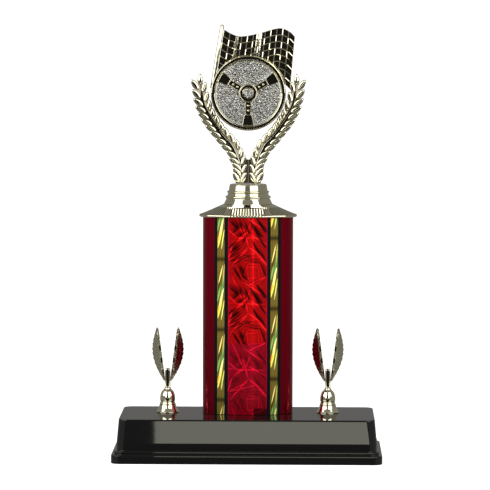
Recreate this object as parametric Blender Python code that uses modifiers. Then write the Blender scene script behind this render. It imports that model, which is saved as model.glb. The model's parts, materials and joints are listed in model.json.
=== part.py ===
"""Column trophy: a weighted black base, an oval foil-wrapped column, two winged trims and a topper.

Metres, +Z up, front towards -Y, so left is -X. The origin is the centre of the foot, on the
surface that the trophy stands on. The topper and each trim can be turned on their upright axes,
and each of them hangs from an empty that stands on its axis.
"""

import math

import bmesh
import bpy
from mathutils import Matrix, Vector

MM = 0.001
GAP = 0.3 * MM  # left between two pieces that touch
FIT = 0.4 * MM  # round a piece that slides into another

# Base
BASE_WIDTH = 216.5 * MM
BASE_DEPTH = 96 * MM
BASE_HEIGHT = 35 * MM
BASE_WALL = 2.5 * MM
BASE_CORNER = 7 * MM
FOOT_HEIGHT = 6 * MM
FOOT_LEDGE = 2.3 * MM
STEP_HEIGHT = 3.2 * MM
STEP_LEDGE = 2 * MM
BAND_HEIGHT = 6.5 * MM
DRAFT_INSET = 1.7 * MM
EDGE_ROUND = 0.8 * MM
BOARD_THICKNESS = 2.4 * MM
SET_BACK = 7 * MM  # the column and the trims stand this far behind the middle of the base

# Column
COLUMN_WIDTH = 74.2 * MM
COLUMN_DEPTH = 38.2 * MM
COLUMN_END_RADIUS = 15.6 * MM
COLUMN_HEIGHT = 158.7 * MM
TUBE_WALL = 1.6 * MM
FOIL = 0.3 * MM
PANEL_WIDTH = 31.4 * MM
STRIPE_WIDTH = 11.2 * MM
PLUG_HEIGHT = 8 * MM

# Cap
CAP_HEIGHT = 10 * MM
CAP_OVERHANG = 2.4 * MM
CAP_RIM_HEIGHT = 4 * MM
CAP_WALL = 2 * MM
CAP_LAND = 4.6 * MM  # how far the cap reaches in over the end of the tube

# Tie rod and its hardware
ROD_RADIUS = 3.1 * MM
NUT_ACROSS_FLATS = 11.1 * MM
NUT_HEIGHT = 5.5 * MM
WASHER_RADIUS = 10 * MM
WASHER_THICKNESS = 1.6 * MM
ROD_END = 2 * MM  # how far the rod stands out of its lower nut
POCKET_DEPTH = 10.5 * MM  # in the underside of the weight, for the lower nut

# Topper
PEDESTAL_RADIUS = 19.6 * MM
PEDESTAL_HEIGHT = 16 * MM
LAUREL_SPREAD = 39 * MM  # from the middle to a stem's upper end
LAUREL_RISE = 80 * MM
STEM_RADIUS = 1.2 * MM
LEAF_LENGTH = 10.8 * MM
LEAF_WIDTH = 5 * MM
LEAF_DEPTH = 2.8 * MM
LEAF_PAIRS = 13
WEB_HALF_WIDTH = 4.4 * MM  # of the thin sheet between the leaves
WEB_THICKNESS = 1.2 * MM
WHEEL_CENTRE = 89.4 * MM
WHEEL_RADIUS = 30.2 * MM
RIM_RADIUS = 2 * MM
DISC_THICKNESS = 2.6 * MM
SPOKE_DEPTH = 1.6 * MM
HUB_RADIUS = 7.4 * MM
HUB_DEPTH = 3 * MM
ARM_WIDTH = 4.6 * MM
PAD_WIDTH = 9.4 * MM
PAD_START = 0.68  # of the way out to the rim
DISH_DEPTH = 1 * MM
BUTTON_RADIUS = 3.7 * MM
BUTTON_DEPTH = 1.3 * MM
RIM_STEPS = 48
POLE_RADIUS = 1.6 * MM
POLE_TOP = 144.4 * MM
POLE_OFFSET = 21.1 * MM  # its top stands this far left of the middle
POLE_LENGTH = 52 * MM
POLE_LEAN = math.radians(9.2)
FLAG_END_LEAN = math.radians(5)
FLAG_WIDTH = 57 * MM
FLAG_DROP = 43 * MM
FLAG_THICKNESS = 1.6 * MM
FLAG_WAVE = 1.2 * MM  # how far it waves forward and back
FLAG_RIPPLE = 6.3 * MM  # between the dip and the crest of its top edge

# Side trims
TRIM_SPACING = 130 * MM
BELL_RADIUS = 9.3 * MM
BELL_HEIGHT = 20 * MM
TRIM_BODY_HEIGHT = 15.4 * MM
TRIM_BODY_WIDTH = 5 * MM
TRIM_BODY_DEPTH = 6 * MM
WING_ROOT = 5.2 * MM  # above the foot of the body
WING_LENGTH = 43.5 * MM
WING_SPREAD = 8.3 * MM  # from the middle to the inner edge at its tip
WING_WIDTH = 6 * MM
WING_THICKNESS = 1.5 * MM
WING_BEAM = 0.9 * MM  # half the thickness of its leading edge
WING_SWEEP = math.radians(38)
FEATHERS = 11
SCREW_RADIUS = 1.7 * MM
SCREW_LENGTH = 13 * MM
SCREW_HEAD_RADIUS = 3.6 * MM
SCREW_HEAD_HEIGHT = 2.2 * MM

# Worked out
COLUMN_OVAL = (COLUMN_WIDTH / 2, COLUMN_DEPTH / 2, COLUMN_END_RADIUS)
COLUMN_TOP = GAP + COLUMN_HEIGHT
CAP_BOTTOM = COLUMN_TOP + GAP
CAP_TOP = CAP_BOTTOM + CAP_HEIGHT
TOPPER_SEAT = CAP_TOP + GAP
NUT_RADIUS = NUT_ACROSS_FLATS / math.sqrt(3)
LAUREL_FOOT = PEDESTAL_HEIGHT + GAP
LAYER = LEAF_DEPTH / 2 + GAP  # how far in front of the laurel the disc's back lies
FLAG_LAYER = LAYER + POLE_RADIUS + FLAG_THICKNESS


# Scene and materials


def clear_scene():
    for obj in list(bpy.data.objects):
        bpy.data.objects.remove(obj)


def collection(name):
    made = bpy.data.collections.new(name)
    bpy.context.scene.collection.children.link(made)
    return made


clear_scene()
PARTS = collection("column_trophy")
CUTTERS = collection("trophy_cutters")


def finish(name, colour, roughness, metallic):
    made = bpy.data.materials.new(name)
    made.use_nodes = True
    shader = made.node_tree.nodes["Principled BSDF"]
    shader.inputs["Base Color"].default_value = (*colour, 1)
    shader.inputs["Roughness"].default_value = roughness
    shader.inputs["Metallic"].default_value = metallic
    return made


BLACK = finish("black_gloss_plastic", (0.012, 0.012, 0.013), 0.08, 0)
GOLD = finish("pale_gold_metallised", (0.86, 0.79, 0.6), 0.12, 1)
DARK = finish("dark_metallised", (0.1, 0.09, 0.08), 0.15, 1)
PEBBLE = finish("pebbled_silver", (0.5, 0.5, 0.5), 0.4, 1)
RED = finish("red_foil", (0.5, 0.01, 0.03), 0.12, 0.8)
CRYSTAL = finish("red_crystal_foil", (0.8, 0.02, 0.06), 0.15, 0.8)
STRIPE = finish("gold_streak_foil", (0.6, 0.42, 0.05), 0.2, 0.9)
BOARD = finish("brown_board", (0.3, 0.2, 0.12), 0.9, 0)
CAST = finish("cast_weight", (0.45, 0.44, 0.42), 0.9, 0)
STEEL = finish("zinc_plated_steel", (0.6, 0.6, 0.58), 0.3, 1)


def group(name, x, y, z):
    """An empty that carries the pieces of one group; its place is the group's own origin."""
    made = bpy.data.objects.new(name, None)
    made.location = (x, y, z)
    PARTS.objects.link(made)
    return made


def add_object(name, mesh, material, parent, cutter=False):
    made = bpy.data.objects.new(name, mesh)
    made.parent = parent
    if cutter:
        made.hide_render = True
        made.display_type = "WIRE"
        CUTTERS.objects.link(made)
        return made
    mesh.materials.append(material)
    mesh.shade_smooth()
    mesh.set_sharp_from_angle(angle=math.radians(30))
    PARTS.objects.link(made)
    return made


def to_mesh(name, bm):
    bmesh.ops.recalc_face_normals(bm, faces=bm.faces)
    mesh = bpy.data.meshes.new(name)
    bm.to_mesh(mesh)
    bm.free()
    return mesh


# Shapes


def loft(name, rings, material, parent, capped=True, cutter=False):
    """A skin through rings of points that match one to one, capped at its ends or joined end to end."""
    bm = bmesh.new()
    loops = [[bm.verts.new(point) for point in ring] for ring in rings]
    pairs = list(zip(loops, loops[1:]))
    if capped:
        bm.faces.new(loops[0])
        bm.faces.new(loops[-1])
    else:
        pairs.append((loops[-1], loops[0]))
    for lower, upper in pairs:
        for i in range(len(lower)):
            bm.faces.new((lower[i - 1], lower[i], upper[i], upper[i - 1]))
    return add_object(name, to_mesh(name, bm), material, parent, cutter)


def cylinder(name, radius, bottom, top, material, parent, sides=24, cutter=False, place=(0, 0)):
    bm = bmesh.new()
    bmesh.ops.create_cone(
        bm,
        cap_ends=True,
        segments=sides,
        radius1=radius,
        radius2=radius,
        depth=top - bottom,
        matrix=Matrix.Translation((*place, (top + bottom) / 2)),
    )
    return add_object(name, to_mesh(name, bm), material, parent, cutter)


def turned(name, profile, material, parent, steps):
    """(radius, height) points, down the outer side from the top, turned about the group's axis."""
    mesh = bpy.data.meshes.new(name)
    points = [(radius, 0, height) for radius, height in profile]
    mesh.from_pydata(points, [(i, i + 1) for i in range(len(points) - 1)], [])
    made = add_object(name, mesh, material, parent)
    screw = made.modifiers.new("turn", "SCREW")
    screw.steps = steps
    screw.render_steps = steps
    screw.use_merge_vertices = True
    screw.merge_threshold = 0.01 * MM
    return made


def boolean(obj, other, operation):
    made = obj.modifiers.new(other.name, "BOOLEAN")
    made.operation = operation
    made.solver = "EXACT"
    made.object = other


def drill(obj, radius, bottom, top, x=0, y=0):
    name = f"{obj.name}_hole_{len(obj.modifiers)}"
    cutter = cylinder(name, radius, bottom, top, None, obj.parent, cutter=True, place=(x, y))
    boolean(obj, cutter, "DIFFERENCE")


def ring_piece(name, outer, inner, bottom, top, material, parent, sides=24, y=0):
    """A washer or a nut: a flat ring with its own number of outer sides and a round bore."""
    made = cylinder(name, outer, bottom, top, material, parent, sides, place=(0, y))
    drill(made, inner, bottom - GAP, top + GAP, y=y)
    return made


def rounded_rectangle(half_x, half_y, radius, z, steps=5):
    points = []
    for quarter in range(4):
        side_x = 1 if quarter in (0, 3) else -1
        side_y = 1 if quarter in (0, 1) else -1
        for step in range(steps + 1):
            angle = math.radians(90) * (quarter + step / steps)
            x = side_x * (half_x - radius) + radius * math.cos(angle)
            y = side_y * (half_y - radius) + radius * math.sin(angle)
            points.append((x, y, z))
    return points


def oval_arcs(oval):
    """The long arc's radius and half angle, and the end arc's half angle, of a four-centred oval."""
    half_x, half_y, end = oval
    run = half_x - end
    long_radius = (run**2 + half_y**2 - end**2) / (2 * (half_y - end))
    end_angle = math.atan2(long_radius - half_y, run)
    return long_radius, math.pi / 2 - end_angle, end_angle


def oval_point(oval, along, grow=0):
    """The point this far round from the middle of the front, no further than the side, pushed out by grow."""
    half_x, half_y, end = oval
    long_radius, long_angle, end_angle = oval_arcs(oval)
    side = -1 if along < 0 else 1
    past = abs(along) - long_radius * long_angle
    if past < 0:
        angle = abs(along) / long_radius
        reach = long_radius + grow
        return side * reach * math.sin(angle), long_radius - half_y - reach * math.cos(angle)
    angle = past / end - end_angle
    return side * (half_x - end + (end + grow) * math.cos(angle)), (end + grow) * math.sin(angle)


def oval_ring(oval, z, grow=0, long_steps=5, end_steps=7):
    """Points round the whole oval, a quarter at a time, from the middle of the front."""
    long_radius, long_angle, end_angle = oval_arcs(oval)
    tangent = long_radius * long_angle
    side = oval[2] * end_angle
    alongs = [tangent * i / long_steps for i in range(long_steps)]
    alongs += [tangent + side * i / end_steps for i in range(end_steps)]
    front_right = [oval_point(oval, along, grow) for along in alongs]
    middle = oval_point(oval, tangent + side, grow)
    rear_right = [(x, -y) for x, y in reversed(front_right)]
    right = front_right + [middle] + rear_right
    left = [(-x, y) for x, y in reversed(right[1:-1])]
    return [(x, y, z) for x, y in right + left]


def smooth_path(points, count):
    """Points at even steps along a Catmull-Rom curve through the given ones."""
    knots = [Vector(point) for point in points]
    knots = [2 * knots[0] - knots[1], *knots, 2 * knots[-1] - knots[-2]]
    spans = len(points) - 1
    path = []
    for i in range(count):
        place = min(i * spans / (count - 1), spans - 1e-9)
        span = int(place)
        t = place - span
        a, b, c, d = knots[span : span + 4]
        bend = (2 * a - 5 * b + 4 * c - d) * t**2 + (3 * b - a - 3 * c + d) * t**3
        path.append((2 * b + (c - a) * t + bend) / 2)
    return path


def even_path(points, count):
    """The same curve with its points an equal distance apart."""
    fine = smooth_path(points, 400)
    lengths = [0]
    for a, b in zip(fine, fine[1:]):
        lengths.append(lengths[-1] + (b - a).length)
    path = []
    for i in range(count):
        target = lengths[-1] * i / (count - 1)
        path.append(fine[min(range(len(fine)), key=lambda k: abs(lengths[k] - target))])
    return path


# Base


def base_levels():
    """The half sizes of the foot, the step, the upright band and the top, measured from the foot inwards."""
    foot = (BASE_WIDTH / 2, BASE_DEPTH / 2)
    step = (foot[0] - FOOT_LEDGE, foot[1] - FOOT_LEDGE)
    band = (step[0] - STEP_LEDGE, step[1] - STEP_LEDGE)
    top = (band[0] - DRAFT_INSET, band[1] - DRAFT_INSET)
    return foot, step, band, top


def base_ring(half, z, inward=0.0):
    return rounded_rectangle(half[0] - inward, half[1] - inward, max(BASE_CORNER - inward, MM), z)


def make_base(base):
    foot, step, band, top = base_levels()
    step_top = FOOT_HEIGHT + STEP_HEIGHT
    band_top = step_top + BAND_HEIGHT
    ledge = FOOT_HEIGHT - BASE_WALL
    roof = BASE_HEIGHT - BASE_WALL
    shell = loft(
        "base_shell",
        [
            base_ring(top, roof, BASE_WALL),
            base_ring(band, band_top, BASE_WALL),
            base_ring(band, ledge, BASE_WALL),
            base_ring(foot, ledge, BASE_WALL),
            base_ring(foot, 0, BASE_WALL),
            base_ring(foot, 0),
            base_ring(foot, FOOT_HEIGHT - EDGE_ROUND),
            base_ring(foot, FOOT_HEIGHT, EDGE_ROUND),
            base_ring(step, FOOT_HEIGHT),
            base_ring(step, step_top - EDGE_ROUND),
            base_ring(step, step_top, EDGE_ROUND),
            base_ring(band, step_top),
            base_ring(band, band_top),
            base_ring(top, BASE_HEIGHT - EDGE_ROUND),
            base_ring(top, BASE_HEIGHT, EDGE_ROUND),
        ],
        BLACK,
        base,
    )
    weight = loft(
        "base_weight",
        [
            base_ring(band, ledge, BASE_WALL + FIT),
            base_ring(band, band_top, BASE_WALL + FIT),
            base_ring(top, roof - GAP, BASE_WALL + FIT),
        ],
        CAST,
        base,
    )
    loft(
        "bottom_board",
        [
            base_ring(foot, ledge - GAP - BOARD_THICKNESS, BASE_WALL + FIT),
            base_ring(foot, ledge - GAP, BASE_WALL + FIT),
        ],
        BOARD,
        base,
    )
    drill(shell, ROD_RADIUS + FIT, roof - MM, BASE_HEIGHT + MM, y=SET_BACK)
    drill(weight, ROD_RADIUS + FIT, 0, BASE_HEIGHT, y=SET_BACK)
    drill(weight, WASHER_RADIUS + 2 * FIT, 0, ledge + POCKET_DEPTH, y=SET_BACK)
    for side in (-1, 1):
        x = side * TRIM_SPACING / 2
        drill(shell, SCREW_RADIUS + FIT, roof - MM, BASE_HEIGHT + MM, x=x, y=SET_BACK)
        drill(weight, SCREW_HEAD_RADIUS + 4 * FIT, 0, BASE_HEIGHT, x=x, y=SET_BACK)


def make_rod(base):
    washer_top = FOOT_HEIGHT - BASE_WALL + POCKET_DEPTH - GAP
    nut_top = washer_top - WASHER_THICKNESS - GAP
    nut_bottom = nut_top - NUT_HEIGHT
    bore = ROD_RADIUS + FIT
    pedestal_seat = BASE_HEIGHT + TOPPER_SEAT
    rod_top = pedestal_seat + NUT_HEIGHT + 2 * MM
    washer_bottom = washer_top - WASHER_THICKNESS
    cylinder("tie_rod", ROD_RADIUS, nut_bottom - ROD_END, rod_top, STEEL, base, 20, place=(0, SET_BACK))
    ring_piece("rod_washer", WASHER_RADIUS, bore, washer_bottom, washer_top, STEEL, base, y=SET_BACK)
    ring_piece("rod_nut", NUT_RADIUS, bore, nut_bottom, nut_top, STEEL, base, sides=6, y=SET_BACK)


# Column and cap


def tube(name, inner, outer, bottom, top, material, parent):
    """An oval tube between two amounts of growth from the column's own oval."""
    rings = [
        oval_ring(COLUMN_OVAL, bottom, outer),
        oval_ring(COLUMN_OVAL, top, outer),
        oval_ring(COLUMN_OVAL, top, inner),
        oval_ring(COLUMN_OVAL, bottom, inner),
    ]
    return loft(name, rings, material, parent, capped=False)


def band(name, start, end, facing, material, parent):
    """A strip of foil laid on the wrap between two distances from the middle of its face."""
    steps = 8
    rings = []
    for i in range(steps + 1):
        along = start + (end - start) * i / steps
        inner = oval_point(COLUMN_OVAL, along, -FOIL)
        outer = oval_point(COLUMN_OVAL, along, 0)
        rings.append(
            [
                (inner[0], facing * inner[1], GAP),
                (outer[0], facing * outer[1], GAP),
                (outer[0], facing * outer[1], COLUMN_TOP),
                (inner[0], facing * inner[1], COLUMN_TOP),
            ]
        )
    return loft(name, rings, material, parent)


def make_column(column):
    foil_outside = -FOIL - GAP
    foil_inside = foil_outside - FOIL
    core_outside = foil_inside - GAP
    core_inside = core_outside - TUBE_WALL
    tube("column_core", core_inside, core_outside, GAP, COLUMN_TOP, BOARD, column)
    tube("column_wrap", foil_inside, foil_outside, GAP, COLUMN_TOP, RED, column)
    half_panel = PANEL_WIDTH / 2
    for where, facing in (("front", 1), ("rear", -1)):
        band(f"panel_{where}", -half_panel, half_panel, facing, CRYSTAL, column)
        for hand, side in (("left", -1), ("right", 1)):
            near = side * (half_panel + GAP)
            far = side * (half_panel + GAP + STRIPE_WIDTH)
            band(f"stripe_{where}_{hand}", near, far, facing, STRIPE, column)
    for name, bottom in (("lower_plug", GAP), ("upper_plug", COLUMN_TOP - PLUG_HEIGHT)):
        rings = [oval_ring(COLUMN_OVAL, z, core_inside - FIT) for z in (bottom, bottom + PLUG_HEIGHT)]
        plug = loft(name, rings, BOARD, column)
        drill(plug, ROD_RADIUS + FIT, bottom - MM, bottom + PLUG_HEIGHT + MM)


def make_cap(column):
    half_x, half_y, end = COLUMN_OVAL
    rim = (half_x + CAP_OVERHANG, half_y + CAP_OVERHANG, end + CAP_OVERHANG)
    seat = PEDESTAL_RADIUS + 0.8 * MM
    shoulder = (seat + 0.5 * MM, seat, seat - 0.5 * MM)
    hollow = (half_x - CAP_LAND, half_y - CAP_LAND, end - CAP_LAND)
    roof = (hollow[0] * 0.5, hollow[1] * 0.9, hollow[2] * 0.8)
    rim_top = CAP_BOTTOM + CAP_RIM_HEIGHT
    brow = tuple((near + 2 * far) / 3 for near, far in zip(rim, shoulder))
    cap = loft(
        "column_cap",
        [
            oval_ring(roof, CAP_TOP - CAP_WALL - MM),
            oval_ring(hollow, CAP_BOTTOM + CAP_RIM_HEIGHT - CAP_WALL),
            oval_ring(hollow, CAP_BOTTOM),
            oval_ring(rim, CAP_BOTTOM, -EDGE_ROUND),
            oval_ring(rim, CAP_BOTTOM + EDGE_ROUND),
            oval_ring(rim, rim_top - EDGE_ROUND),
            oval_ring(rim, rim_top, -EDGE_ROUND),
            oval_ring(rim, rim_top, -2 * EDGE_ROUND),
            oval_ring(brow, CAP_TOP - 1.6 * MM),
            oval_ring(shoulder, CAP_TOP),
        ],
        GOLD,
        column,
    )
    drill(cap, ROD_RADIUS + FIT, CAP_BOTTOM, CAP_TOP + MM)


# Topper


def make_pedestal(topper):
    """Three tiers with a bead under each of the upper two, over a blind bore for the rod and its nut."""
    foot = PEDESTAL_RADIUS
    height = PEDESTAL_HEIGHT
    pocket_top = NUT_HEIGHT + GAP + 0.2 * MM
    bore_top = height - 3 * MM
    profile = [
        (0, height),
        (foot * 0.74, height),
        (foot * 0.765, height * 0.96),
        (foot * 0.80, height * 0.68),
        (foot * 0.85, height * 0.66),
        (foot * 0.87, height * 0.61),
        (foot * 0.83, height * 0.56),
        (foot * 0.87, height * 0.42),
        (foot * 0.92, height * 0.40),
        (foot * 0.94, height * 0.35),
        (foot * 0.89, height * 0.29),
        (foot * 0.99, height * 0.04),
        (foot, 0),
        (NUT_RADIUS + FIT, 0),
        (NUT_RADIUS + FIT, pocket_top),
        (ROD_RADIUS + FIT, pocket_top),
        (ROD_RADIUS + FIT, bore_top),
        (0, bore_top),
    ]
    turned("topper_pedestal", profile, GOLD, topper, 32)
    ring_piece("topper_nut", NUT_RADIUS, ROD_RADIUS + FIT, GAP, GAP + NUT_HEIGHT, STEEL, topper, sides=6)


# The stem's route, as shares of the spread across and of the rise
STEM_ROUTE = ((0.14, 0), (0.155, 0.22), (0.27, 0.32), (0.56, 0.5), (0.86, 0.7), (0.99, 0.87), (1, 1))
# How far a leaf turns out from the stem, in degrees, at the foot, a third, two thirds and the tip
INNER_TURNS = (30, 46, 34, 17)
OUTER_TURNS = (29, 38, 27, 44)


def stem_points(side, count):
    foot = LAUREL_FOOT + GAP
    route = [(side * across * LAUREL_SPREAD, 0, foot + up * LAUREL_RISE) for across, up in STEM_ROUTE]
    return even_path(route, count)


def turn_at(turns, share):
    """The turn in radians at this share of the stem, between the listed ones."""
    place = min(share, 0.999) * (len(turns) - 1)
    first = int(place)
    return math.radians(turns[first] + (turns[first + 1] - turns[first]) * (place - first))


def leaf_mesh(name, root, direction):
    """An almond with a raised ridge front and back, as the hull of its outline and its ridge."""
    across = Vector((-direction.z, 0, direction.x)) * LEAF_WIDTH
    forward = Vector((0, LEAF_DEPTH, 0))
    points = []
    for along, half in ((0, 0.05), (0.28, 0.45), (0.62, 0.45), (1, 0.02)):
        place = root + direction * along * LEAF_LENGTH
        points += [place + across * i * half + forward * k / 4 for i in (-1, 1) for k in (-1, 1)]
    for along in (0.15, 0.65):
        place = root + direction * along * LEAF_LENGTH
        points += [place - forward / 2, place + forward / 2]
    bm = bmesh.new()
    for point in points:
        bm.verts.new(point)
    hull = bmesh.ops.convex_hull(bm, input=bm.verts)
    inside = [piece for piece in hull["geom_interior"] if isinstance(piece, bmesh.types.BMVert)]
    bmesh.ops.delete(bm, geom=inside, context="VERTS")
    return to_mesh(name, bm)


def make_stem(topper, hand, side):
    path = stem_points(side, 16)
    ends = [path[0], *path, path[-1]]
    rings = []
    for before, point, after in zip(ends, path, ends[2:]):
        along = (after - before).normalized()
        across = Vector((-along.z, 0, along.x))
        turns = [math.pi * i / 3 for i in range(6)]
        spread = [across * math.cos(turn) + Vector((0, math.sin(turn), 0)) for turn in turns]
        rings.append([point + STEM_RADIUS * offset for offset in spread])
    return loft(f"laurel_{hand}", rings, GOLD, topper)


def make_web(topper, hand, side):
    """The thin sheet behind the leaves of a branch, which narrows to its tip and reaches the middle at its foot."""
    path = stem_points(side, 20)
    rings = []
    for before, point, after in zip([path[0], *path], path, [*path[1:], path[-1]]):
        along = (after - before).normalized()
        across = Vector((-along.z, 0, along.x)) * -side
        share = len(rings) / (len(path) - 1)
        outer = WEB_HALF_WIDTH * min(1, 0.35 + 4 * (1 - share))
        inner = max(outer, abs(point.x) + MM) if share < 0.25 else outer
        half = Vector((0, WEB_THICKNESS / 2, 0))
        near, far = point - across * inner, point + across * outer
        rings.append([near - half, far - half, far + half, near + half])
    return loft(f"laurel_{hand}_web", rings, None, topper, cutter=True)


def make_laurel(topper, hand, side):
    """A branch: a stem with leaves on both sides and one at its tip, joined into one moulding."""
    branch = make_stem(topper, hand, side)
    leaves = collection(f"laurel_{hand}_leaves")
    steps = 2 * LEAF_PAIRS
    path = stem_points(side, steps + 2)
    for i in range(steps):
        inner = i % 2 == 1
        turns = INNER_TURNS if inner else OUTER_TURNS
        turn = turn_at(turns, i / steps) * (-side if inner else side)
        along = (path[i + 1] - path[max(i - 1, 0)]).normalized()
        direction = Matrix.Rotation(turn, 3, "Y") @ along
        add_leaf(leaves, f"laurel_{hand}_leaf_{i}", path[i], direction, topper)
    add_leaf(leaves, f"laurel_{hand}_tip", path[-2], Vector((0, 0, 1)), topper)
    boolean(branch, make_web(topper, hand, side), "UNION")
    joined = branch.modifiers.new("leaves", "BOOLEAN")
    joined.operation = "UNION"
    joined.solver = "EXACT"
    joined.operand_type = "COLLECTION"
    joined.collection = leaves
    middle = side * GAP / 2
    far = -side * LAUREL_SPREAD
    deep = LEAF_DEPTH
    corners = ((middle, -deep), (far, -deep), (far, deep), (middle, deep))
    rings = [[(x, y, z) for x, y in corners] for z in (0, WHEEL_CENTRE)]
    other_half = loft(f"laurel_{hand}_limit", rings, None, topper, cutter=True)
    boolean(branch, other_half, "DIFFERENCE")


def add_leaf(leaves, name, root, direction, parent):
    made = bpy.data.objects.new(name, leaf_mesh(name, root, direction))
    made.parent = parent
    made.hide_render = True
    made.display_type = "WIRE"
    leaves.objects.link(made)


def upright_disc(name, radius, front, back, material, parent, sides, cutter=False):
    """A cylinder on its side, its axis along Y through the wheel's centre."""
    bm = bmesh.new()
    place = Matrix.Translation((0, (front + back) / 2, WHEEL_CENTRE)) @ Matrix.Rotation(math.pi / 2, 4, "X")
    bmesh.ops.create_cone(
        bm, cap_ends=True, segments=sides, radius1=radius, radius2=radius, depth=back - front, matrix=place
    )
    return add_object(name, to_mesh(name, bm), material, parent, cutter)


def wheel_point(radius, across, angle, y):
    """A point on the wheel's face: out along a spoke at this angle, and across it."""
    out = Vector((math.cos(angle), 0, math.sin(angle)))
    beside = Vector((-math.sin(angle), 0, math.cos(angle)))
    place = out * radius + beside * across
    return Vector((place.x, y, WHEEL_CENTRE + place.z))


def make_rim(topper, back):
    rings = []
    for i in range(RIM_STEPS):
        angle = 2 * math.pi * i / RIM_STEPS
        ring = []
        for k in range(8):
            turn = math.pi * k / 4
            radius = WHEEL_RADIUS - RIM_RADIUS + RIM_RADIUS * math.cos(turn)
            ring.append(wheel_point(radius, 0, angle, back - RIM_RADIUS + RIM_RADIUS * math.sin(turn)))
        rings.append(ring)
    loft("wheel_rim", rings, DARK, topper, capped=False)


def make_spokes(topper, back, inside):
    """The hub and three spokes, each with a narrow arm and a pad that widens to the rim."""
    hub_front = back - HUB_DEPTH
    hub = upright_disc("wheel_spokes", HUB_RADIUS, hub_front, back, DARK, topper, 32)
    pad = PAD_START * inside
    arm_half = ARM_WIDTH / 2
    outline = (
        (HUB_RADIUS / 2, arm_half),
        (pad - MM, arm_half),
        (pad + MM, PAD_WIDTH * 0.38),
        (inside - MM, PAD_WIDTH / 2),
    )
    edge = [*outline, *((radius, -half) for radius, half in reversed(outline))]
    for angle in (30, 150, 270):
        turn = math.radians(angle)
        faces = (back - SPOKE_DEPTH, back)
        rings = [[wheel_point(radius, half, turn, y) for radius, half in edge] for y in faces]
        spoke = loft(f"spoke_{angle}", rings, None, topper, cutter=True)
        boolean(hub, spoke, "UNION")
    dish_back = hub_front + DISH_DEPTH
    dish = upright_disc("hub_dish", BUTTON_RADIUS + FIT, hub_front - MM, dish_back, None, topper, 24, True)
    boolean(hub, dish, "DIFFERENCE")
    button_back = dish_back - GAP
    upright_disc("hub_button", BUTTON_RADIUS, button_back - BUTTON_DEPTH, button_back, GOLD, topper, 24)


def make_wheel(topper):
    """The disc, the rim round it and the spokes on its face, from back to front."""
    back = -LAYER
    inside = WHEEL_RADIUS - 2 * RIM_RADIUS - GAP
    disc_front = back - DISC_THICKNESS
    upright_disc("wheel_disc", inside, disc_front, back, PEBBLE, topper, RIM_STEPS)
    make_rim(topper, back)
    make_spokes(topper, disc_front - GAP, inside)


def pole_point(down):
    """A point on the pole's axis, this far down it from its top."""
    across = POLE_OFFSET + down * math.sin(POLE_LEAN)
    return Vector((-across, FLAG_LAYER, POLE_TOP - down * math.cos(POLE_LEAN)))


def make_pole(topper):
    """A round pole with a domed top."""
    beside = Vector((math.cos(POLE_LEAN), 0, -math.sin(POLE_LEAN)))
    dome = [(math.cos(t), 1 - math.sin(t)) for t in (math.radians(70), math.radians(35), 0)]
    shape = [(POLE_RADIUS * across, POLE_RADIUS * down) for across, down in dome]
    rings = []
    for radius, down in (*shape, (POLE_RADIUS, POLE_LENGTH)):
        turns = [2 * math.pi * i / 12 for i in range(12)]
        middle = pole_point(down)
        rings.append([middle + radius * (beside * math.cos(t) + Vector((0, math.sin(t), 0))) for t in turns])
    loft("flag_pole", rings, GOLD, topper)


# The flag's top edge: shares of its width, and how far below the crest in shares of the ripple
FLAG_EDGE = ((0, 0.13), (0.13, 0.78), (0.26, 1), (0.5, 0.59), (0.72, 0.03), (0.83, 0), (0.93, 0.4), (1, 1.03))


def make_flag(topper):
    """A flag that leans with its pole: its top edge dips and crests while it waves forward and back."""
    half = Vector((0, FLAG_THICKNESS / 2, 0))
    near = POLE_RADIUS + GAP
    rings = []
    for point in smooth_path([(across, 0, below) for across, below in FLAG_EDGE], 24):
        wave = FLAG_WAVE * math.sin(2.5 * math.pi * point.x)
        out = Vector((near + point.x * FLAG_WIDTH, wave, -point.z * FLAG_RIPPLE))
        top = pole_point(2 * POLE_RADIUS) + out
        upright = point.x * FLAG_DROP * (math.sin(POLE_LEAN) - math.sin(FLAG_END_LEAN))
        foot = pole_point(2 * POLE_RADIUS + FLAG_DROP) + out + Vector((upright, 0, 0))
        rings.append([top - half, top + half, foot + half, foot - half])
    loft("flag", rings, GOLD, topper)


# Side trims


def make_bell(trim, hand):
    """A turned foot: skirt, waist, dome and neck, hollow below round a boss that takes the screw."""
    foot = BELL_RADIUS
    height = BELL_HEIGHT
    boss = SCREW_RADIUS + FIT + 2 * MM
    bore_top = SCREW_LENGTH - BASE_WALL
    profile = [
        (0, height),
        (foot * 0.27, height),
        (foot * 0.30, height * 0.97),
        (foot * 0.50, height * 0.92),
        (foot * 0.60, height * 0.82),
        (foot * 0.67, height * 0.68),
        (foot * 0.68, height * 0.54),
        (foot * 0.63, height * 0.50),
        (foot * 0.63, height * 0.47),
        (foot * 0.70, height * 0.43),
        (foot * 0.78, height * 0.29),
        (foot * 0.92, height * 0.15),
        (foot * 0.99, height * 0.06),
        (foot, GAP),
        (foot * 0.86, GAP),
        (foot * 0.62, height * 0.2),
        (boss, height * 0.2),
        (boss, GAP),
        (SCREW_RADIUS + FIT, GAP),
        (SCREW_RADIUS + FIT, bore_top),
        (0, bore_top),
    ]
    turned(f"{hand}_trim_bell", profile, GOLD, trim, 20)


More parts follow.
